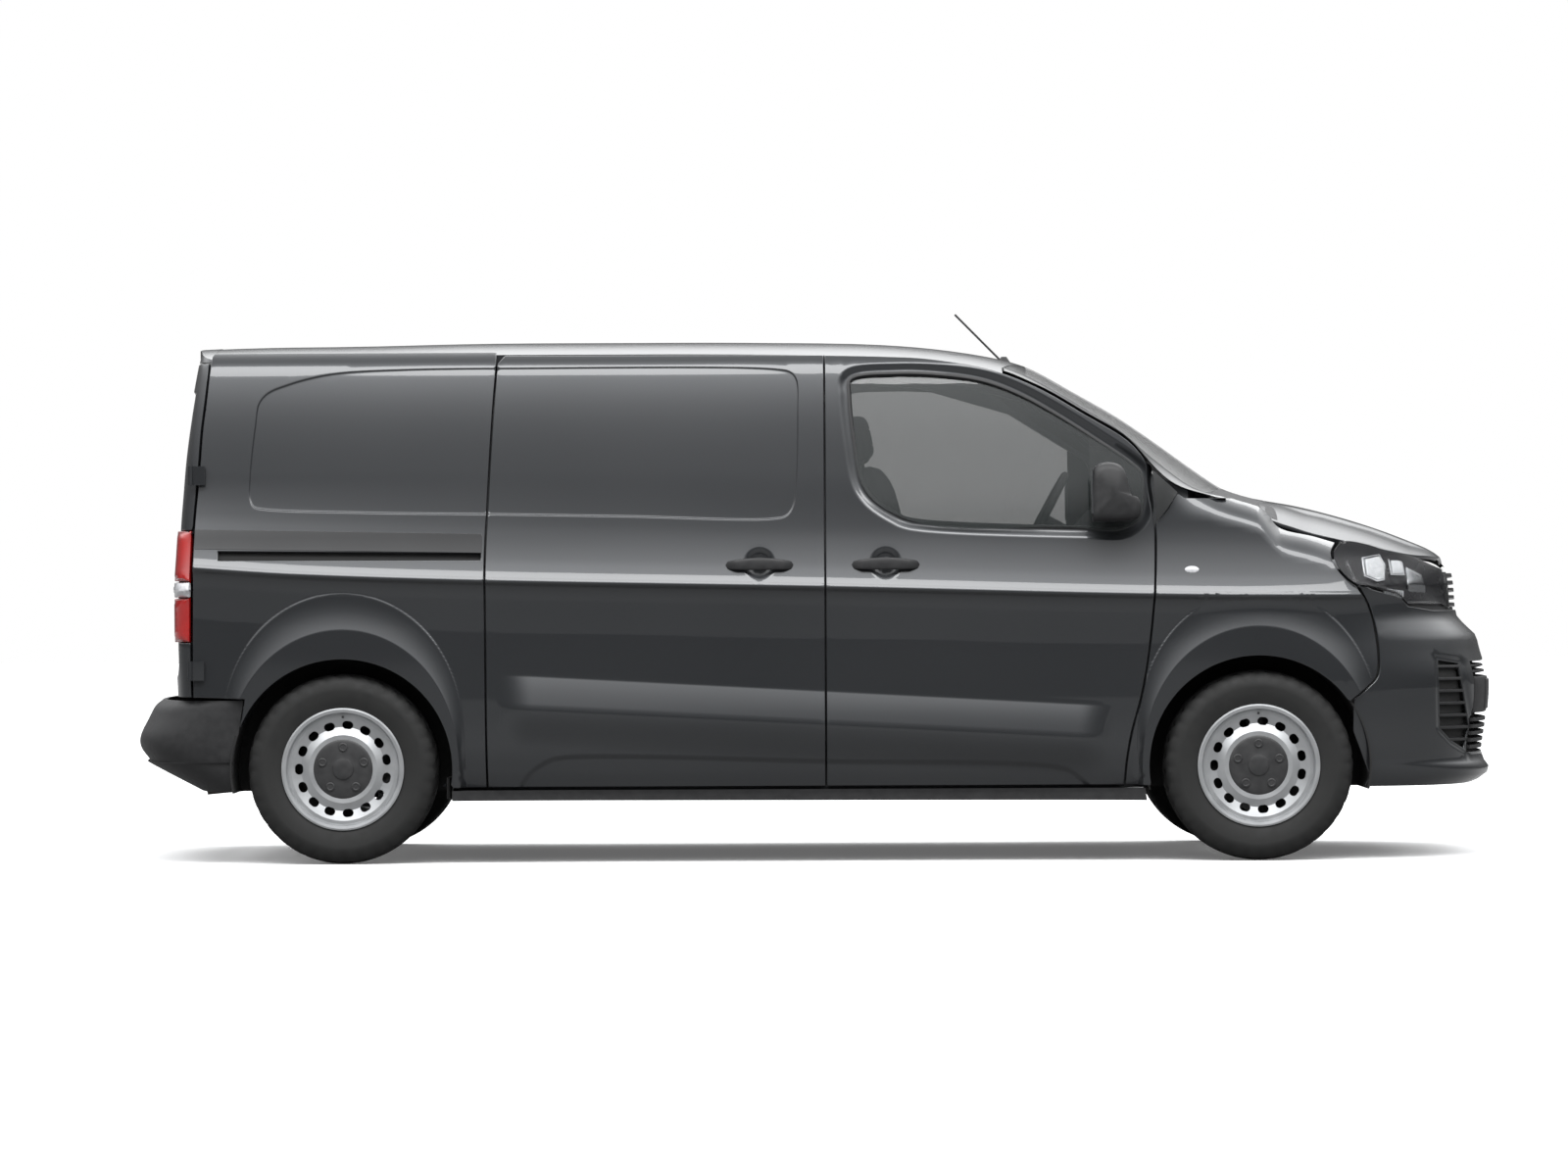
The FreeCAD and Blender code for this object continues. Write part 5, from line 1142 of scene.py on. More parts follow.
def bar_handle(name, side, x, z):
    """A handle's bar, bowed out over its dish."""
    rings = []
    for share in np.linspace(-1.0, 1.0, 29):
        swell = max(0.0, 1.0 - abs(share) ** 2.6)
        waist = 0.62 + 0.38 * (1 - share * share)
        half = max(0.0012, HANDLE_TALL / 2 * waist * min(1.0, swell * 5.0) ** 0.5)
        here = x + share * HANDLE_LONG / 2
        base = float(side_half(np.array([here]), np.array([z]))[0])
        stand = HANDLE_PROUD * min(1.0, swell * 1.6)
        thick = 0.004 + 0.009 * min(1.0, swell * 2.5)
        ring = []
        for turn in np.linspace(0, 2 * math.pi, 20, endpoint=False):
            up = half * squared(math.sin(turn), 0.8)
            out = base + stand - thick / 2 + thick / 2 * squared(math.cos(turn), 0.8)
            ring.append((here, side * out, z + up - 0.006 * share * share))
        rings.append(ring)
    return lofted(name, rings, "black_trim")


for name, side, x, body, node_name in (
        ("front_door_handle_right", RIGHT, DOOR_HANDLE_X, "front_door_right", "door_handle_right"),
        ("front_door_handle_left", LEFT, DOOR_HANDLE_X, "front_door_left", "door_handle_left"),
        ("slide_handle", RIGHT, SLIDE_HANDLE_X, "body", "sliding_door_handle")):
    handle = bar_handle(name, side, x, DISH_Z)
    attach(handle, body)
    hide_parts(node_name)

# The cover over the sliding door's rail

cover_loop = straight([(-2.222, 1.201), (-1.196, 1.181), (-1.196, 1.112), (-2.222, 1.130)])
lift_loop = shift(cover_loop, -0.02)
cover = panel("rail_cover", [cover_loop], side_place(RIGHT, [(lift_loop, -0.0015, 0.001)]), "gloss_black",
              depth=0.0025, roll=0.001)
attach(cover, "body")
slot_loop = straight([(-2.140, 1.087), (-1.198, 1.085), (-1.198, 1.113), (-2.140, 1.123)])
slot_ring = shift(slot_loop, -0.02)
channel = panel("rail_channel", [slot_loop], side_place(RIGHT, [(slot_ring, 0.020, 0.001)]), "liner",
                depth=0.003, roll=0.0005)
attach(channel, "body")

# Wheels: tyres with tread, and centre caps with five bosses

TREAD_STEPS = 216
GROOVES = (-0.052, -0.018, 0.018, 0.052)
GROOVE_HALF, GROOVE_DEEP = 0.0045, 0.0075
TREAD_HALF, TREAD_STEP, TREAD_ROWS, TREAD_TOP = 0.080, 0.00445, 36, 0.3402
TYRE_WALL = [(0.2075, -0.088), (0.2150, -0.0925), (0.2250, -0.0960), (0.2450, -0.1020), (0.2650, -0.1058),
             (0.2800, -0.1070), (0.2850, -0.1073), (0.2980, -0.1055)]
TYRE_RIBS = [(0.3120, -0.1005), (0.3235, -0.0945), (0.3320, -0.0870)]


def tyre_profile():
    """Radius and outward place of the tyre's skin, with a mark for what the tread does there."""
    walls = [(radius, out, "") for radius, out in TYRE_WALL]
    walls += [(radius, out, "rib") for radius, out in TYRE_RIBS]
    rows = list(walls)
    for row in range(TREAD_ROWS):
        across = row * TREAD_STEP - TREAD_HALF
        in_groove = any(abs(across - groove) < GROOVE_HALF for groove in GROOVES)
        share = abs(across) / TREAD_HALF
        crown = TREAD_TOP - 0.0022 * share ** 2 - 0.0025 * max(0.0, share - 0.8) / 0.2
        rows.append((crown - (GROOVE_DEEP if in_groove else 0.0), across, "groove" if in_groove else "block"))
    return rows + [(radius, -out, mark) for radius, out, mark in reversed(walls)]


TYRE = tyre_profile()
BORE_HALF = [(0.2075, 0.085), (0.2090, 0.060), (0.2150, 0.050), (0.2300, 0.050)]
BORE = BORE_HALF + [(radius, -out) for radius, out in reversed(BORE_HALF)]


def sipe(step, index):
    """How far the tread is cut in, at a step round the tyre and a point of its profile."""
    if index >= len(TYRE):
        return 0.0
    radius, out, mark = TYRE[index]
    if mark == "rib":
        return -0.0035 if step % 6 < 2 else 0.0
    if mark == "block":
        lag = int(abs(out) * 60)
        if abs(out) > 0.054:
            return -0.006 if (step + lag) % 6 < 2 else 0.0
        return -0.0045 if (step + lag + (3 if out > 0 else 0)) % 9 == 0 else 0.0
    return 0.0


CAP = [(0.0, 0.0870), (0.014, 0.0870), (0.030, 0.0866), (0.036, 0.0850), (0.038, 0.0820), (0.041, 0.0812),
       (0.060, 0.0810), (0.084, 0.0800), (0.098, 0.0785), (0.105, 0.0765), (0.109, 0.0735), (0.110, 0.0690),
       (0.104, 0.0640), (0.0, 0.0640)]
BOSS = [(0.0, 0.0835), (0.009, 0.0833), (0.0105, 0.0845), (0.0135, 0.0845), (0.0155, 0.0832),
        (0.0165, 0.0780), (0.0, 0.0780)]
BOSSES, BOSS_CIRCLE = 5, 0.078
STEM = [(0.0, 0.098), (0.0035, 0.098), (0.0040, 0.094), (0.0045, 0.076), (0.0060, 0.072), (0.0, 0.070)]
STEM_UP = 0.186
for end, axle in (("front", FRONT_AXLE), ("rear", REAR_AXLE)):
    for name, side in SIDES:
        body = "wheel_%s_%s" % (end, name)
        hub = (axle, side * WHEEL_SIDE, WHEEL)
        profile = [(radius, out) for radius, out, _ in TYRE] + BORE
        profile.append(profile[0])
        tyre = spun("tyre_skin_%s_%s" % (end, name), profile, hub, side, "tyre", TREAD_STEPS, sipe)
        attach(tyre, body)
        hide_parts("tyre_%s_%s" % (end, name))
        parts = [spun("cap_disc", CAP, hub, side, "cap_grey", 72)]
        for index in range(BOSSES):
            turn = math.pi / 2 + index * 2 * math.pi / BOSSES
            spot = (hub[0] + BOSS_CIRCLE * math.cos(turn), hub[1], hub[2] + BOSS_CIRCLE * math.sin(turn))
            parts.append(spun("cap_boss", BOSS, spot, side, "cap_grey", 24))
        cap = joined("wheel_cap_%s_%s" % (end, name), parts)
        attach(cap, body)
        stem_hub = (hub[0], hub[1], hub[2] + STEM_UP)
        valve = spun("valve_%s_%s" % (end, name), STEM, stem_hub, side, "black_trim", 16)
        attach(valve, body)

# Nose: bumper with corner intakes


def on_nose(shares_or_points):
    """Side-view points turned into places on the wrapped nose: how far round, and height."""
    points = np.asarray(shares_or_points, float)
    return np.stack([turn_at(points[:, 0], points[:, 1], NOSE_PLAN, nose_tip), points[:, 1]], axis=1)


def nose_loop(points, grow=0.0):
    """Outline on the wrapped nose with straight sides in side view."""
    rows = [on_nose(strand([a, b]))[:-1] for a, b in zip(points, points[1:] + points[:1])]
    return shift(turned(np.vstack(rows)), -grow)


lamp_top = along(LAMP_TOP)
lamp_low = along(LAMP_LOW)
LAMP_IN = WIDE * 0.60
chin = TALL * 0.474
bumper_low = TALL * 0.137
arch_edge = FRONT_AXLE + ARCH
arch_line = [wing_bumper[-1], (arch_edge - 0.06, 0.46), (arch_edge, 0.30), (arch_edge - 0.02, bumper_low)]
side_part = [wing_bumper] + [list(pair) for pair in zip(arch_line, arch_line[1:])]
half_edge = [on_nose(strand(points))[:-1] for points in side_part]
half_edge = np.vstack(half_edge + [on_nose(np.array([side_part[-1][1]]))])
lamp_edge = on_nose(strand(lamp_low[:5][::-1]))
top_line = np.stack([np.linspace(0.0, lamp_edge[0][0], 40), np.full(40, chin)], axis=1)
top_line[-8:, 1] = np.linspace(chin, lamp_edge[0][1], 8)
low_line = np.stack([np.linspace(half_edge[-1][0], 0.0, 60), np.full(60, bumper_low)], axis=1)
half = np.vstack([top_line[:-1], lamp_edge[:-1], half_edge[:-1], low_line])
bumper_loop = np.vstack([half[1:], mirrored(half[::-1])[1:]])
bumper_loop = shift(turned(bumper_loop), GAP / 2)
mouth_half = WIDE * 0.66
mouth_low, mouth_high = TALL * 0.200, TALL * 0.375


def turn_out(y, z):
    """Place round the nose at which the skin is y metres out."""
    half = WIDE * float(curve(SECTION, z / TALL))
    return halving(0.0, 1.0, lambda turn: half * plan_point(NOSE_PLAN, turn)[1] < y) * WIDE


mouth_u = turn_out(mouth_half, (mouth_low + mouth_high) / 2)
mouth_loop = box_loop(-mouth_u, mouth_u, mouth_low, mouth_high)
INTAKE = [(2.246, 0.712), (2.326, 0.700), (2.372, 0.470), (2.352, 0.392), (2.296, 0.424), (2.250, 0.470)]
intake = nose_loop(INTAKE)
intakes = [intake, mirrored(intake)]
brow = shift(turned(intake), -0.030)
BROW_WIDE, BROW_DEEP = 0.026, 0.012


def bumper_press(u, z):
    """A hollow round each corner intake."""
    return ease(depth_in(brow, np.stack([np.abs(u), z], axis=1)) / BROW_WIDE) * BROW_DEEP


brow_lines = [brow, shift(brow, 0.014), shift(brow, 0.026)]
brow_lines += [mirrored(line) for line in brow_lines]
bumper = panel("front_bumper_skin", [bumper_loop, mouth_loop] + intakes, nose_place(press=bumper_press),
               "body_paint", depth=0.008, lines=brow_lines, inner_slot="black_trim")
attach(bumper, "body")
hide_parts("front_bumper")

INTAKE_BAR = 0.010
bars = []
for mirror in (1, -1):
    for z in np.linspace(0.425, 0.690, 7):
        row = on_nose(np.array([(2.236, z), (2.384 - max(0.0, 0.47 - z) * 0.3, z)]))
        start, end = sorted((row[0][0], row[1][0]))
        bar_loop = sided(box_loop(start, end, z - INTAKE_BAR / 2, z + INTAKE_BAR / 2), mirror)
        bars.append(panel("intake_bar", [bar_loop], nose_place(lift=-0.012), "black_trim",
                          depth=0.018, roll=0.0015))
    back_loop = sided(shift(turned(intake), -0.012), mirror)
    bars.append(panel("intake_back", [back_loop], nose_place(lift=-0.034), "liner",
                      depth=0.003, roll=0.0005))
intake_bars = joined("intake_bars", bars)
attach(intake_bars, "body")

# Headlamps: a clear lens over a dark bowl with its modules

lamp_tip = (2.262, TALL * 0.482)
lamp_strands = [lamp_back, lamp_low[:5], [lamp_low[4], lamp_tip]]
lens_side = [on_nose(strand(points))[:-1] for points in lamp_strands]
lens_top = on_nose(strand(lamp_top))
inner_u = turn_out(LAMP_IN, TALL * 0.51)
inner_low = np.array((inner_u, TALL * 0.4765))
top_in = np.array((inner_u, float(lens_top[lens_top[:, 0] > inner_u][-1][1])))
outline_rows = lens_side + [on_nose([lamp_tip])]
low_run = strand([outline_rows[-1][0], inner_low])[1:]
in_run = strand([inner_low, top_in])[1:]
top_run = lens_top[lens_top[:, 0] > inner_u][::-1]
lens_loop = np.vstack(outline_rows + [low_run, in_run, top_run[1:-1]])
lens_loop = shift(turned(lens_loop), GAP / 2)
lenses, bowls, modules = [], [], []
MODULE_A = [(1.985, 1.078), (2.040, 1.088), (2.056, 1.060), (2.052, 1.006), (2.030, 1.002), (1.990, 1.018)]
MODULE_B = [(2.084, 1.080), (2.126, 1.070), (2.134, 1.022), (2.090, 1.024)]
MODULE_C = [(2.150, 1.050), (2.215, 1.020), (2.235, 0.945), (2.160, 0.935)]
FIN_BACK, FIN_FRONT, FIN_LONG, FINS = 2.052, 2.120, 0.0035, 9
BOWL_SUNK, BOWL_DEEP, BOWL_WIDE = 0.004, 0.040, 0.030
for mirror in (1, -1):
    lenses.append(panel("lamp_lens", [sided(lens_loop, mirror)], nose_place(), "lamp_lens",
                        depth=0.0025, roll=0.0015))
    bowl_rim = shift(turned(lens_loop), 0.003)

    def bowl_press(u, z):
        flat = np.stack([u * mirror, z], axis=1)
        return BOWL_SUNK + BOWL_DEEP * ease(depth_in(bowl_rim, flat) / BOWL_WIDE)
    bowl_lines = [sided(shift(bowl_rim, inward), mirror) for inward in (0.006, 0.014, 0.024)]
    bowls.append(panel("lamp_bowl", [sided(bowl_rim, mirror)], nose_place(press=bowl_press),
                       "bowl_black", spacing=0.018, depth=0.004, roll=0.0005, lines=bowl_lines))
    for points, lift, slot in ((MODULE_A, -0.020, "lamp_white"), (MODULE_B, -0.022, "lamp_white"),
                               (MODULE_C, -0.030, "lamp_chrome")):
        modules.append(panel("module", [sided(nose_loop(points), mirror)], nose_place(lift=lift),
                             slot, spacing=0.012, depth=0.016, roll=0.004))
        if slot == "lamp_white":
            rim = nose_loop(points, 0.006)
            modules.append(panel("module_rim", [sided(rim, mirror), sided(nose_loop(points, 0.001), mirror)],
                                 nose_place(lift=lift - 0.003), "lamp_chrome",
                                 depth=0.012, roll=0.001))
    for x in np.linspace(FIN_BACK, FIN_FRONT, FINS):
        top, foot = 0.970 + (x - FIN_BACK) * -0.12, 0.948 - (x - FIN_BACK) * 0.2
        fin = [(x, top), (x + FIN_LONG, top), (x + FIN_LONG, foot), (x, foot)]
        modules.append(panel("fin", [sided(nose_loop(fin), mirror)], nose_place(lift=-0.016),
                             "lamp_white", spacing=0.01, depth=0.010, roll=0.0006))
lens = joined("headlamp_lenses", lenses)
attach(lens, "body")
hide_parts("headlamps")
bowl = joined("headlamp_bowls", bowls)
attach(bowl, "body")
insides = joined("headlamp_modules", modules)
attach(insides, "body")

# Tail lamps: two red cells about a clear one


def rear_pin(side, z):
    """Point in plan, at height z, of the axis that a rear door turns on."""
    pin_x = -HALF * 0.899
    low, high = TALL * 0.368, TALL * 0.738
    low_y = float(side_half(np.array([pin_x]), np.array([low]))[0]) + 0.018
    high_y = PIN_HIGH
    return np.array((pin_x, side * (low_y + (high_y - low_y) * (z - low) / (high - low))))


PIN_HIGH = 0.889705
LAMP_CIRCLE = 0.108
lamp_base, lamp_head = TALL * 0.421, TALL * 0.635


def tail_spot(u, z):
    """Point in plan of the tail's left half, back from the middle and out."""
    turn = u / WIDE
    back, out = plan_point(TAIL_PLAN, turn)
    x = float(tail_tip(turn, z)) - HALF * back
    return np.array((-x, float(tail_width(z)) * out))


def notch_turn(z, radius):
    """Place round the tail at which the skin comes within a radius of the hinge line."""
    pin = rear_pin(LEFT, z)
    return halving(WIDE * 0.3, WIDE * 0.93, lambda u: np.linalg.norm(tail_spot(u, z) - pin) > radius)


def edge_turn(x, z):
    """Place round the tail at which the skin reaches x."""
    return float(turn_at(np.array([-x]), np.array([z]), TAIL_PLAN, tail_tip)[0])


gap_line = strand(rear_gap)


def gap_x(z):
    """Where the gap in front of the rear doors is."""
    return float(np.interp(z, gap_line[::-1, 1], gap_line[::-1, 0]))


def lamp_cell(low, high):
    """Outline of a lamp cell between two heights."""
    rows = np.linspace(low, high, 24)
    inner_run = [(notch_turn(z, LAMP_CIRCLE), z) for z in rows]
    outer_run = [(edge_turn(gap_x(z) - 0.004, z), z) for z in rows[::-1]]
    return turned(np.array(inner_run + outer_run))


cells = []
CELL_PROUD, CELL_SWELL, CELL_EDGE = 0.006, 0.003, 0.008
CELLS = ((lamp_base + 0.003, 0.953, "lamp_red"), (0.957, 1.012, "lamp_frost"),
         (1.016, lamp_head - 0.003, "lamp_red"))
for mirror in (1, -1):
    for low, high, slot in CELLS:
        loop = lamp_cell(low, high)
        rim = shift(loop, 0.012)

        def cell_press(u, z, rim=rim, mirror=mirror):
            flat = np.stack([u * mirror, z], axis=1)
            return -CELL_PROUD - CELL_SWELL * ease(depth_in(rim, flat) / CELL_EDGE)
        place = tail_place(press=cell_press)
        ring = sided(rim, mirror)
        cells.append(panel("tail_cell", [sided(loop, mirror)], place, slot, spacing=0.014, depth=0.020,
                           lines=[ring, shift(turned(ring), 0.008)]))
tail = joined("tail_lamp_cells", cells)
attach(tail, "body")
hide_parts("tail_lamps")

# Grilles, wrapped round the nose between and below the lamps


def nose_part(name, loop, slot, lift, depth, roll=0.0015):
    """A plate on the nose, lifted off its surface or sunk in it."""
    return panel(name, [loop], nose_place(lift=lift), slot, spacing=0.03, depth=depth, roll=roll)


FIT = 0.004
mouth_in = mouth_u - FIT


def strip(name, reach, low, high, slot, lift, depth, roll=0.0015):
    """A bar across the nose, as far out on both sides."""
    return nose_part(name, box_loop(-reach, reach, low, high), slot, lift, depth, roll)


low_parts = [strip("mouth_back", mouth_in, mouth_low + FIT, mouth_high - FIT, "liner", -0.040, 0.003)]
for z in np.linspace(mouth_low + 0.018, TALL * 0.262, 5):
    low_parts.append(strip("mouth_bar", mouth_in, z - 0.006, z + 0.006, "black_trim", 0.0, 0.030))
low_parts.append(strip("mouth_bridge", mouth_in, TALL * 0.275, TALL * 0.345, "black_trim", 0.001, 0.034,
                       0.006))
low_parts.append(strip("plate_rest", 0.27, TALL * 0.281, TALL * 0.339, "cap_grey", 0.006, 0.010, 0.003))
for z in (TALL * 0.355, TALL * 0.366):
    low_parts.append(strip("mouth_bar", mouth_in, z - 0.004, z + 0.004, "black_trim", -0.006, 0.024))
low_grille = joined("lower_grille_bars", low_parts)
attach(low_grille, "body")
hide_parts("lower_grille")

grille_u = inner_u - FIT
grille_low, grille_high = chin + FIT, TALL * 0.546
high_parts = [strip("grille_back", grille_u, grille_low, grille_high, "liner", -0.032, 0.003)]
for z in np.linspace(grille_low + 0.012, grille_high - 0.012, 5):
    high_parts.append(strip("grille_bar", grille_u, z - 0.008, z + 0.008, "gloss_black", -0.002, 0.024,
                            0.003))
for side in (RIGHT, LEFT):
    inner_edge = sorted((side * grille_u, side * (grille_u - 0.02)))
    high_parts.append(nose_part("grille_end", box_loop(inner_edge[0], inner_edge[1], grille_low, grille_high),
                                "gloss_black", -0.001, 0.028, 0.002))
high_grille = joined("upper_grille_bars", high_parts)
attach(high_grille, "body")
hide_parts("upper_grille")

carrier = strip("nose_carrier", lamp_edge[0][0], chin - 0.040, chin + 0.022, "black_trim", -0.014, 0.006)
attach(carrier, "body")


def sunk_side(side, x, z, sunk=0.045):
    """Points of the body side moved inward, and its normals."""
    points, normals = side_place(side)(x, z)
    return points - normals * sunk, normals


# Bonnet

BONNET_BACK, BONNET_FRONT = HALF * 0.645, HALF * 0.938
BONNET_ROWS, BONNET_COLUMNS = 90, 80
SWEEP = HALF * 0.045


def bonnet_half(x):
    """Half width of the bonnet."""
    z = TALL * curve(BONNET_LINE, x / HALF)
    return np.minimum(side_half(x, z), WIDE * 0.84)


def bonnet_spot(station, share):
    """Plan place on the bonnet, swept back towards its sides near the nose."""
    swept = station - SWEEP * 0.6 * share ** 2 * ease((station / HALF - 0.85) / 0.09)
    return np.stack([swept, share * (bonnet_half(swept) - GAP)], axis=-1)


def bonnet_press(x, y):
    """Two long creases that fall away from the middle of the bonnet."""
    line = 0.36 + 0.10 * (HALF * 0.94 - x) / (HALF * 0.30)
    return 0.010 * ease((np.abs(y) - line) / 0.06) * ease((x - 1.66) / 0.14) * ease((2.27 - x) / 0.12)


def bonnet_run(share):
    """Line along the bonnet at a share of its half width."""
    return bonnet_spot(np.linspace(BONNET_BACK, BONNET_FRONT, BONNET_ROWS), np.full(BONNET_ROWS, share))


def bonnet_cross(station, reach):
    """Line across the bonnet, from a share of its half width to the same share on the other side."""
    return bonnet_spot(np.full(BONNET_COLUMNS, station), np.linspace(reach, -reach, BONNET_COLUMNS))


bonnet_side_line = bonnet_run(1.0)
bonnet_edges = (bonnet_side_line, bonnet_cross(BONNET_FRONT, 1.0), bonnet_side_line[::-1] * (1.0, -1.0),
                bonnet_cross(BONNET_BACK, -1.0))
bonnet_loop = np.vstack([line[:-1] for line in bonnet_edges])
bonnet_lines = [bonnet_run(share) for share in (0.99, 0.97, 0.94, 0.90, -0.90, -0.94, -0.97, -0.99)]
bonnet_lines += [bonnet_cross(BONNET_FRONT - back, 0.98) for back in (0.006, 0.014, 0.024, 0.038)]
bonnet = panel("bonnet_skin", [bonnet_loop], top_place(bonnet_press), "body_paint", spacing=0.024,
               depth=0.014, lines=bonnet_lines, inner_slot="body_inner")
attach(bonnet, "bonnet")
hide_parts("bonnet")

# Black band printed round the windscreen's edge

SCREEN_TOP, SCREEN_FOOT = HALF * 0.315 - SWEEP, HALF * 0.590 - SWEEP


def screen_edge(station):
    """Line across the windscreen's end, bowed forward in the middle."""
    share = np.linspace(-1.0, 1.0, 90)
    half = float(WIDE * curve(PILLAR_LINE, station / HALF))
    return np.stack([station + SWEEP * (1 - share ** 2), share * half], axis=1)


screen_x = np.linspace(SCREEN_TOP, SCREEN_FOOT, 80)
screen_side = np.stack([screen_x, WIDE * curve(PILLAR_LINE, screen_x / HALF)], axis=1)
screen_loop = np.vstack([screen_side[:-1], screen_edge(SCREEN_FOOT)[::-1][:-1],
                         (screen_side * (1, -1))[::-1][:-1], screen_edge(SCREEN_TOP)[:-1]])
band = panel("windscreen_band", [shift(screen_loop, 0.001), shift(screen_loop, 0.062)],
             top_place(lambda x, y: 0.0064), "gloss_black", depth=0.0008, roll=0.0003)
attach(band, "body")


def lining_spot(x, z):
    """Inner face of the right body side."""
    return sunk_side(RIGHT, x, z, wall_depth(x, z)[:, None] - 0.001)


rail_box = panel("rail_box", [shift(turned(slot_loop), -0.012)], lining_spot, "liner", depth=0.004,
                 roll=0.0005)
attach(rail_box, "body")

for name, side in SIDES:
    sill_end = panel("sill_end_" + name, [box_loop(-1.325, -1.165, 0.232, 0.31)],
                     lambda x, z, side=side: sunk_side(side, x, z), "liner", depth=0.003, roll=0.0005)
    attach(sill_end, "body")

# Rear doors, with blind pressings, a handle and a blank plate rest

rear_low, rear_top = TALL * 0.318, TALL * 0.956 - GAP
DOOR_CIRCLE = 0.1135
MEET = 0.004
EDGE_STEP = 0.012


def rear_edge(z):
    """Place round the tail of a rear door's outer edge."""
    return edge_turn(gap_x(z) - GAP, z)


def rear_loop():
    """A rear door's outline, with a notch round the lamp."""
    edge = [(MEET, rear_low), (rear_edge(rear_low), rear_low)]
    lower = [(rear_edge(z), z) for z in np.arange(rear_low, lamp_base, EDGE_STEP)]
    notch = [(notch_turn(z, DOOR_CIRCLE), z) for z in np.linspace(lamp_base, lamp_head, 36)]
    upper = [(rear_edge(z), z) for z in np.arange(lamp_head, rear_top, EDGE_STEP)]
    top = strand([(rear_edge(rear_top), rear_top), (MEET, rear_top)])
    low = strand(edge)
    down = strand([(MEET, rear_top), (MEET, rear_low)])
    side_run = strand([(rear_edge(lamp_base), lamp_base), notch[0]])[1:-1]
    top_run = strand([notch[-1], (rear_edge(lamp_head), lamp_head)])[1:-1]
    return turned(np.vstack([low[:-1], lower, side_run, notch, top_run, upper[1:], top[:-1], down[:-1]]))


rear_outline = rear_loop()
high_blind = round_loop([(0.10, 1.20), (0.10, 1.62), (0.14, 1.68), (0.50, 1.70), (0.66, 1.68), (0.70, 1.62),
                         (0.72, 1.24), (0.68, 1.18), (0.50, 1.16), (0.14, 1.16)])
low_blind = round_loop([(0.10, 0.72), (0.10, 1.02), (0.14, 1.07), (0.50, 1.07), (0.62, 1.05), (0.64, 1.00),
                        (0.64, 0.74), (0.60, 0.69), (0.50, 0.67), (0.14, 0.67)])
REAR_PRESSES = ((high_blind, 0.008, 0.014), (low_blind, 0.010, 0.016))
for name, side in SIDES:
    def rear_press(u, z, side=side):
        flat = np.stack([u * side, z], axis=1)
        deep = 0.006 * ease((z - 1.10) / 0.02) * ease((1.14 - z) / 0.02)
        for loop, depth, width in REAR_PRESSES:
            deep = deep + depth * ease(depth_in(loop, flat) / width)
        return deep
    rings = [sided(ring, side) for press in REAR_PRESSES for ring in press_lines(press)]
    door = panel("rear_door_skin_" + name, [sided(rear_outline, side)], tail_place(press=rear_press),
                 "body_paint", depth=0.044, lines=rings, inner_slot="body_inner")
    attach(door, "rear_door_" + name)
    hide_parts("rear_door_" + name)


def tail_part(name, box, slot, lift, depth, roll):
    """A plate laid on the rear doors."""
    return panel(name, [box_loop(*box)], tail_place(lift=lift), slot, depth=depth, roll=roll)


plate_parts = [tail_part("plate_rest", (0.13, 0.57, 0.74, 0.88), "black_trim", -0.006, 0.006, 0.002),
               tail_part("plate_blank", (0.15, 0.55, 0.755, 0.865), "cap_grey", -0.003, 0.003, 0.001)]
plate = joined("rear_plate_blank", plate_parts)
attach(plate, "rear_door_left")

handle_parts = [tail_part("handle_cup", (-0.085, -0.025, 0.90, 1.06), "black_trim", -0.004, 0.006, 0.002),
                tail_part("handle_bar", (-0.072, -0.038, 0.92, 1.04), "black_trim", 0.016, 0.018, 0.006)]
rear_handle = joined("rear_door_handle", handle_parts)
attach(rear_handle, "rear_door_right")

# Mirrors: a rounded shell on a foot, flat across its back

MIRROR_X = HALF * 0.428
MIRROR_LOW, MIRROR_HIGH = TALL * 0.643, TALL * 0.756
MIRROR_DEEP = HALF * 0.070
MIRROR_OUT, MIRROR_REACH = 0.055, 0.160


def rounded(half_a, half_b, power, count=40):
    """Rounded rectangle about zero."""
    turns = np.linspace(0, 2 * math.pi, count, endpoint=False)
    return np.stack([half_a * squared(np.cos(turns), power), half_b * squared(np.sin(turns), power)], axis=1)


MIRROR_FORM = [(-0.517, -0.95), (-0.525, -0.46), (-0.517, 0.09), (-0.494, 0.63), (-0.379, 0.91),
               (-0.149, 0.99), (0.080, 0.88), (0.195, 0.61), (0.264, 0.19), (0.320, -0.13), (0.455, -0.22),
               (0.517, -0.54), (0.437, -0.92), (0.052, -1.0), (-0.30, -1.0)]


def round_form(points, count=4):
    """Closed smooth curve through points."""
    form = []
    for index, p1 in enumerate(points):
        p0, p2, p3 = (np.array(points[(index + step) % len(points)]) for step in (-1, 1, 2))
        p1 = np.array(p1)
        for t in np.arange(count) / count:
            form.append(0.5 * (2 * p1 + (p2 - p0) * t + (2 * p0 - 5 * p1 + 4 * p2 - p3) * t ** 2
                               + (3 * p1 - p0 - 3 * p2 + p3) * t ** 3))
    return np.array(form)


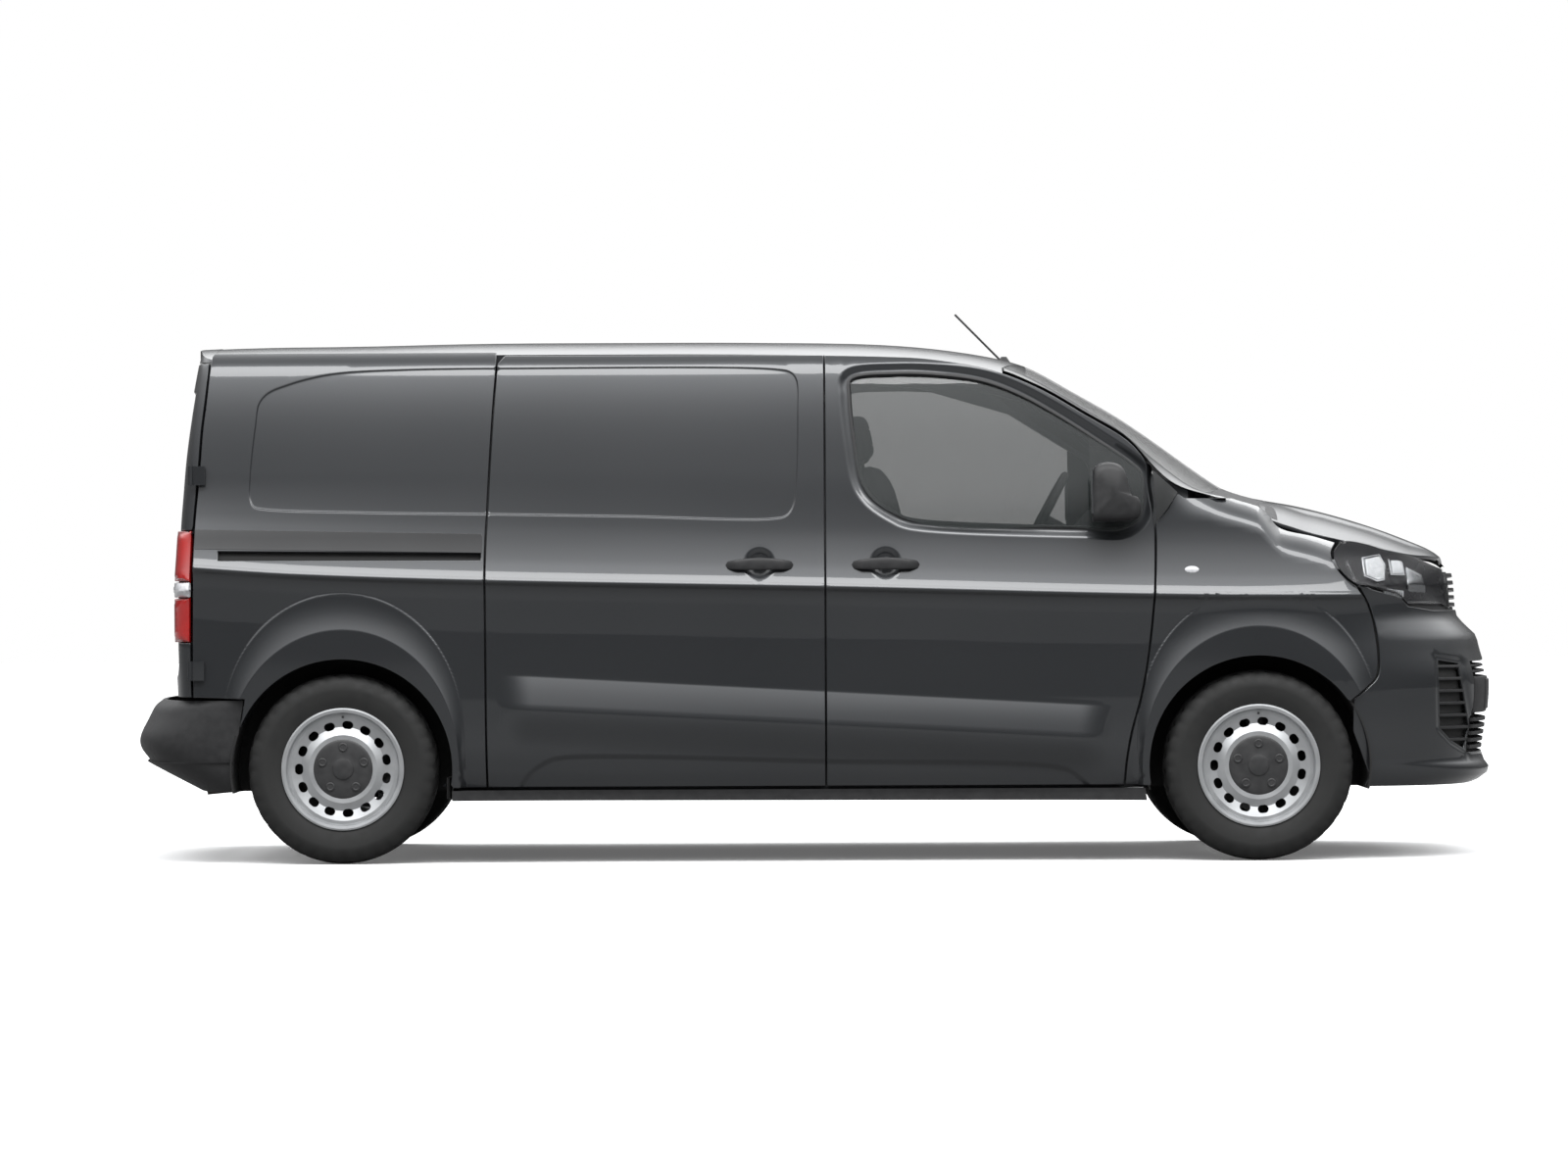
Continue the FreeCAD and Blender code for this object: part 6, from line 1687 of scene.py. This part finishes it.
mirror_form = round_form(MIRROR_FORM) * (MIRROR_DEEP, (MIRROR_HIGH - MIRROR_LOW) / 2)
for name, side in SIDES:
    base = float(side_half(np.array([MIRROR_X]), np.array([MIRROR_HIGH]))[0])
    middle_z = (MIRROR_LOW + MIRROR_HIGH) / 2
    rings = []
    for share in np.linspace(0.0, 1.0, 25):
        bulge = (1 - (2 * share - 1) ** 8) ** 0.35 if 0 < share < 1 else 0.06
        shape = mirror_form * (bulge * (0.93 + 0.07 * math.sin(math.pi * share)))
        y = base + MIRROR_OUT + share * MIRROR_REACH
        back_x = MIRROR_X - MIRROR_DEEP / 2 + 0.003
        rings.append([(max(back_x, MIRROR_X + px), side * y, middle_z + pz) for px, pz in shape])
    shell = lofted("mirror_case", rings, "black_trim")
    foot_rings = []
    for share in np.linspace(0.0, 1.0, 7):
        y = base + 0.012 + share * 0.085
        shape = rounded(0.040 - 0.008 * share, 0.026, 0.6, 24)
        foot_rings.append([(MIRROR_X - 0.010 + px, side * y, MIRROR_LOW + 0.030 + 0.006 * share + pz)
                           for px, pz in shape])
    foot = lofted("mirror_arm", foot_rings, "black_trim")
    mirror = joined("mirror_shell_" + name, [shell, foot])
    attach(mirror, "front_door_" + name)
    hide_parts("mirror_" + name)

# Seats: upholstered cushions with bolsters, channels and sewn seams

SEAT_X = HALF * 0.105
SEAT_Y = WIDE * 0.43
SEAT_WIDE = 0.460
CAB_FLOOR = TALL * 0.235
CHANNELS = (-0.60, -0.20, 0.20, 0.60)
STEM_HALF = 0.006
PLINTH = ((0.0, 0.165, 0.184), (0.03, 0.165, 0.184), (0.30, 0.150, 0.172), (0.90, 0.150, 0.172),
          (1.0, 0.160, 0.180))
PLINTH_X, PLINTH_TALL = SEAT_X + 0.275, 0.268


def cushion(name, start, end, wide, thick, crown, bolster, channels=CHANNELS, power=0.45):
    """A stuffed piece run from start to end; its face bulges between sewn channels."""
    start, end = np.array(start, float), np.array(end, float)
    length = np.linalg.norm(end - start)
    run = (end - start) / length
    across = np.array((0.0, 1.0, 0.0))
    face = np.cross(run, across)
    if face[2] + face[0] < 0:
        face = -face
    rings = []
    for share in np.linspace(0.0, 1.0, 45):
        reach = 2 * share - 1
        full = (1 - abs(reach) ** 7) ** 0.30 if abs(reach) < 1 else 0.25
        full = max(full, 0.25)
        cross_seam = sum(math.exp(-((share - place) / 0.012) ** 2) for place in (0.30, 0.66))
        ring = []
        for turn in np.linspace(0, 2 * math.pi, 96, endpoint=False):
            a = float(squared(math.cos(turn), power))
            b = float(squared(math.sin(turn), power))
            out = wide / 2 * a * (0.94 + 0.06 * full)
            up = thick / 2 * b * full
            if b > 0:
                swell = crown * (1 - a * a) * (1 - reach ** 4) + bolster * ease((abs(a) - 0.58) / 0.25) * (
                    1 - ease((abs(a) - 0.86) / 0.14)) * (1 - reach ** 6)
                seam = sum(math.exp(-((a - place) / 0.022) ** 2) for place in channels)
                inner = cross_seam if abs(a) < 0.60 else 0.0
                up += swell * full * b - 0.007 * min(1.0, seam + inner) * b
            spot = start + run * length * share + across * out + face * up
            ring.append(tuple(spot))
        rings.append(ring)
    return lofted(name, rings, "seat_cloth")


BACK_LOW, BACK_HIGH = CAB_FLOOR + 0.330, CAB_FLOOR + 0.975
REST_LOW, REST_HIGH = CAB_FLOOR + 1.000, CAB_FLOOR + 1.160
PIVOT_Z = CAB_FLOOR + 0.300
LEAN = math.tan(math.radians(12.0))


def lean_spot(ahead, y, z):
    """Place on a seat's back, which leans about its pivot."""
    return (SEAT_X + ahead - (z - PIVOT_Z) * LEAN, y, z)


for name, side in SIDES:
    y = side * SEAT_Y
    base = cushion("seat_cushion_" + name, (SEAT_X + 0.045, y, CAB_FLOOR + 0.335),
                   (SEAT_X + 0.535, y, CAB_FLOOR + 0.350), SEAT_WIDE, 0.130, 0.018, 0.026)
    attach(base, "body")
    back = cushion("seat_back_" + name, lean_spot(0.068, y, BACK_LOW), lean_spot(0.068, y, BACK_HIGH),
                   SEAT_WIDE, 0.120, 0.014, 0.030)
    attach(back, "body")
    rest = cushion("head_rest_" + name, lean_spot(0.055, y, REST_LOW), lean_spot(0.055, y, REST_HIGH), 0.250,
                   0.090, 0.010, 0.0, channels=(), power=0.6)
    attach(rest, "body")
    if name == "right":
        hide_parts("seats")
    stems = []
    for across in (-0.055, 0.055):
        x0 = lean_spot(0.058, y, BACK_HIGH - 0.05)[0]
        x1 = lean_spot(0.055, y, REST_LOW + 0.03)[0]
        rings = []
        for share in np.linspace(0.0, 1.0, 5):
            x, z = x0 + (x1 - x0) * share, BACK_HIGH - 0.05 + (REST_LOW + 0.08 - BACK_HIGH) * share
            turns = np.linspace(0, 2 * math.pi, 16, endpoint=False)
            rings.append([(x + STEM_HALF * math.cos(turn), y + across + STEM_HALF * math.sin(turn), z)
                          for turn in turns])
        stems.append(lofted("rest_stem", rings, "chassis"))
    plinth_rings = []
    for share, half_x, half_y in PLINTH:
        level = CAB_FLOOR + 0.001 + share * PLINTH_TALL
        plinth_rings.append([(PLINTH_X + px, y + py, level) for px, py in rounded(half_x, half_y, 0.25, 48)])
    stems.append(lofted("seat_plinth", plinth_rings, "dash_plastic"))
    hard = joined("seat_frame_" + name, stems)
    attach(hard, "body")

# Floor

FLOOR_HALF = 60.0
# For reflections and bounced light the floor is dark grey: painted shade that stands in for the van's shadow
# on the floor beside it. Where the camera sees it, the floor is white.
FLOOR_PAINTED_SHADE = (0.18, 0.18, 0.18, 1.0)
FLOOR_GLOW = 0.12
FLOOR_TONES = [(0.3, (0.96, 0.96, 0.96)), (0.7, (1.0, 1.0, 1.0))]
corners = [(x * FLOOR_HALF, y * FLOOR_HALF, 0) for x, y in ((-1, -1), (1, -1), (1, 1), (-1, 1))]
floor = mesh_object("studio_floor", corners, [(0, 1, 2, 3)])
floor_finish, floor_tree, floor_shader = material("floor_finish")
# The floor's colour for light it gives and reflects is the painted shade set above.
tune(floor_shader, Base_Color=FLOOR_PAINTED_SHADE, Roughness=0.8)
floor_seen = add(floor_tree, "BsdfPrincipled", Roughness=0.9, Specular_IOR_Level=0.1, Emission_Color=WHITE,
                 Emission_Strength=FLOOR_GLOW)
floor_tree.links.new(ramp(floor_tree, noise(floor_tree, 3.0), FLOOR_TONES), floor_seen.inputs["Base Color"])
seen_and_lit(floor_tree, floor_shader.outputs["BSDF"], floor_seen.outputs["BSDF"],
             floor_tree.nodes["Material Output"].inputs["Surface"])
floor.data.materials.append(floor_finish)
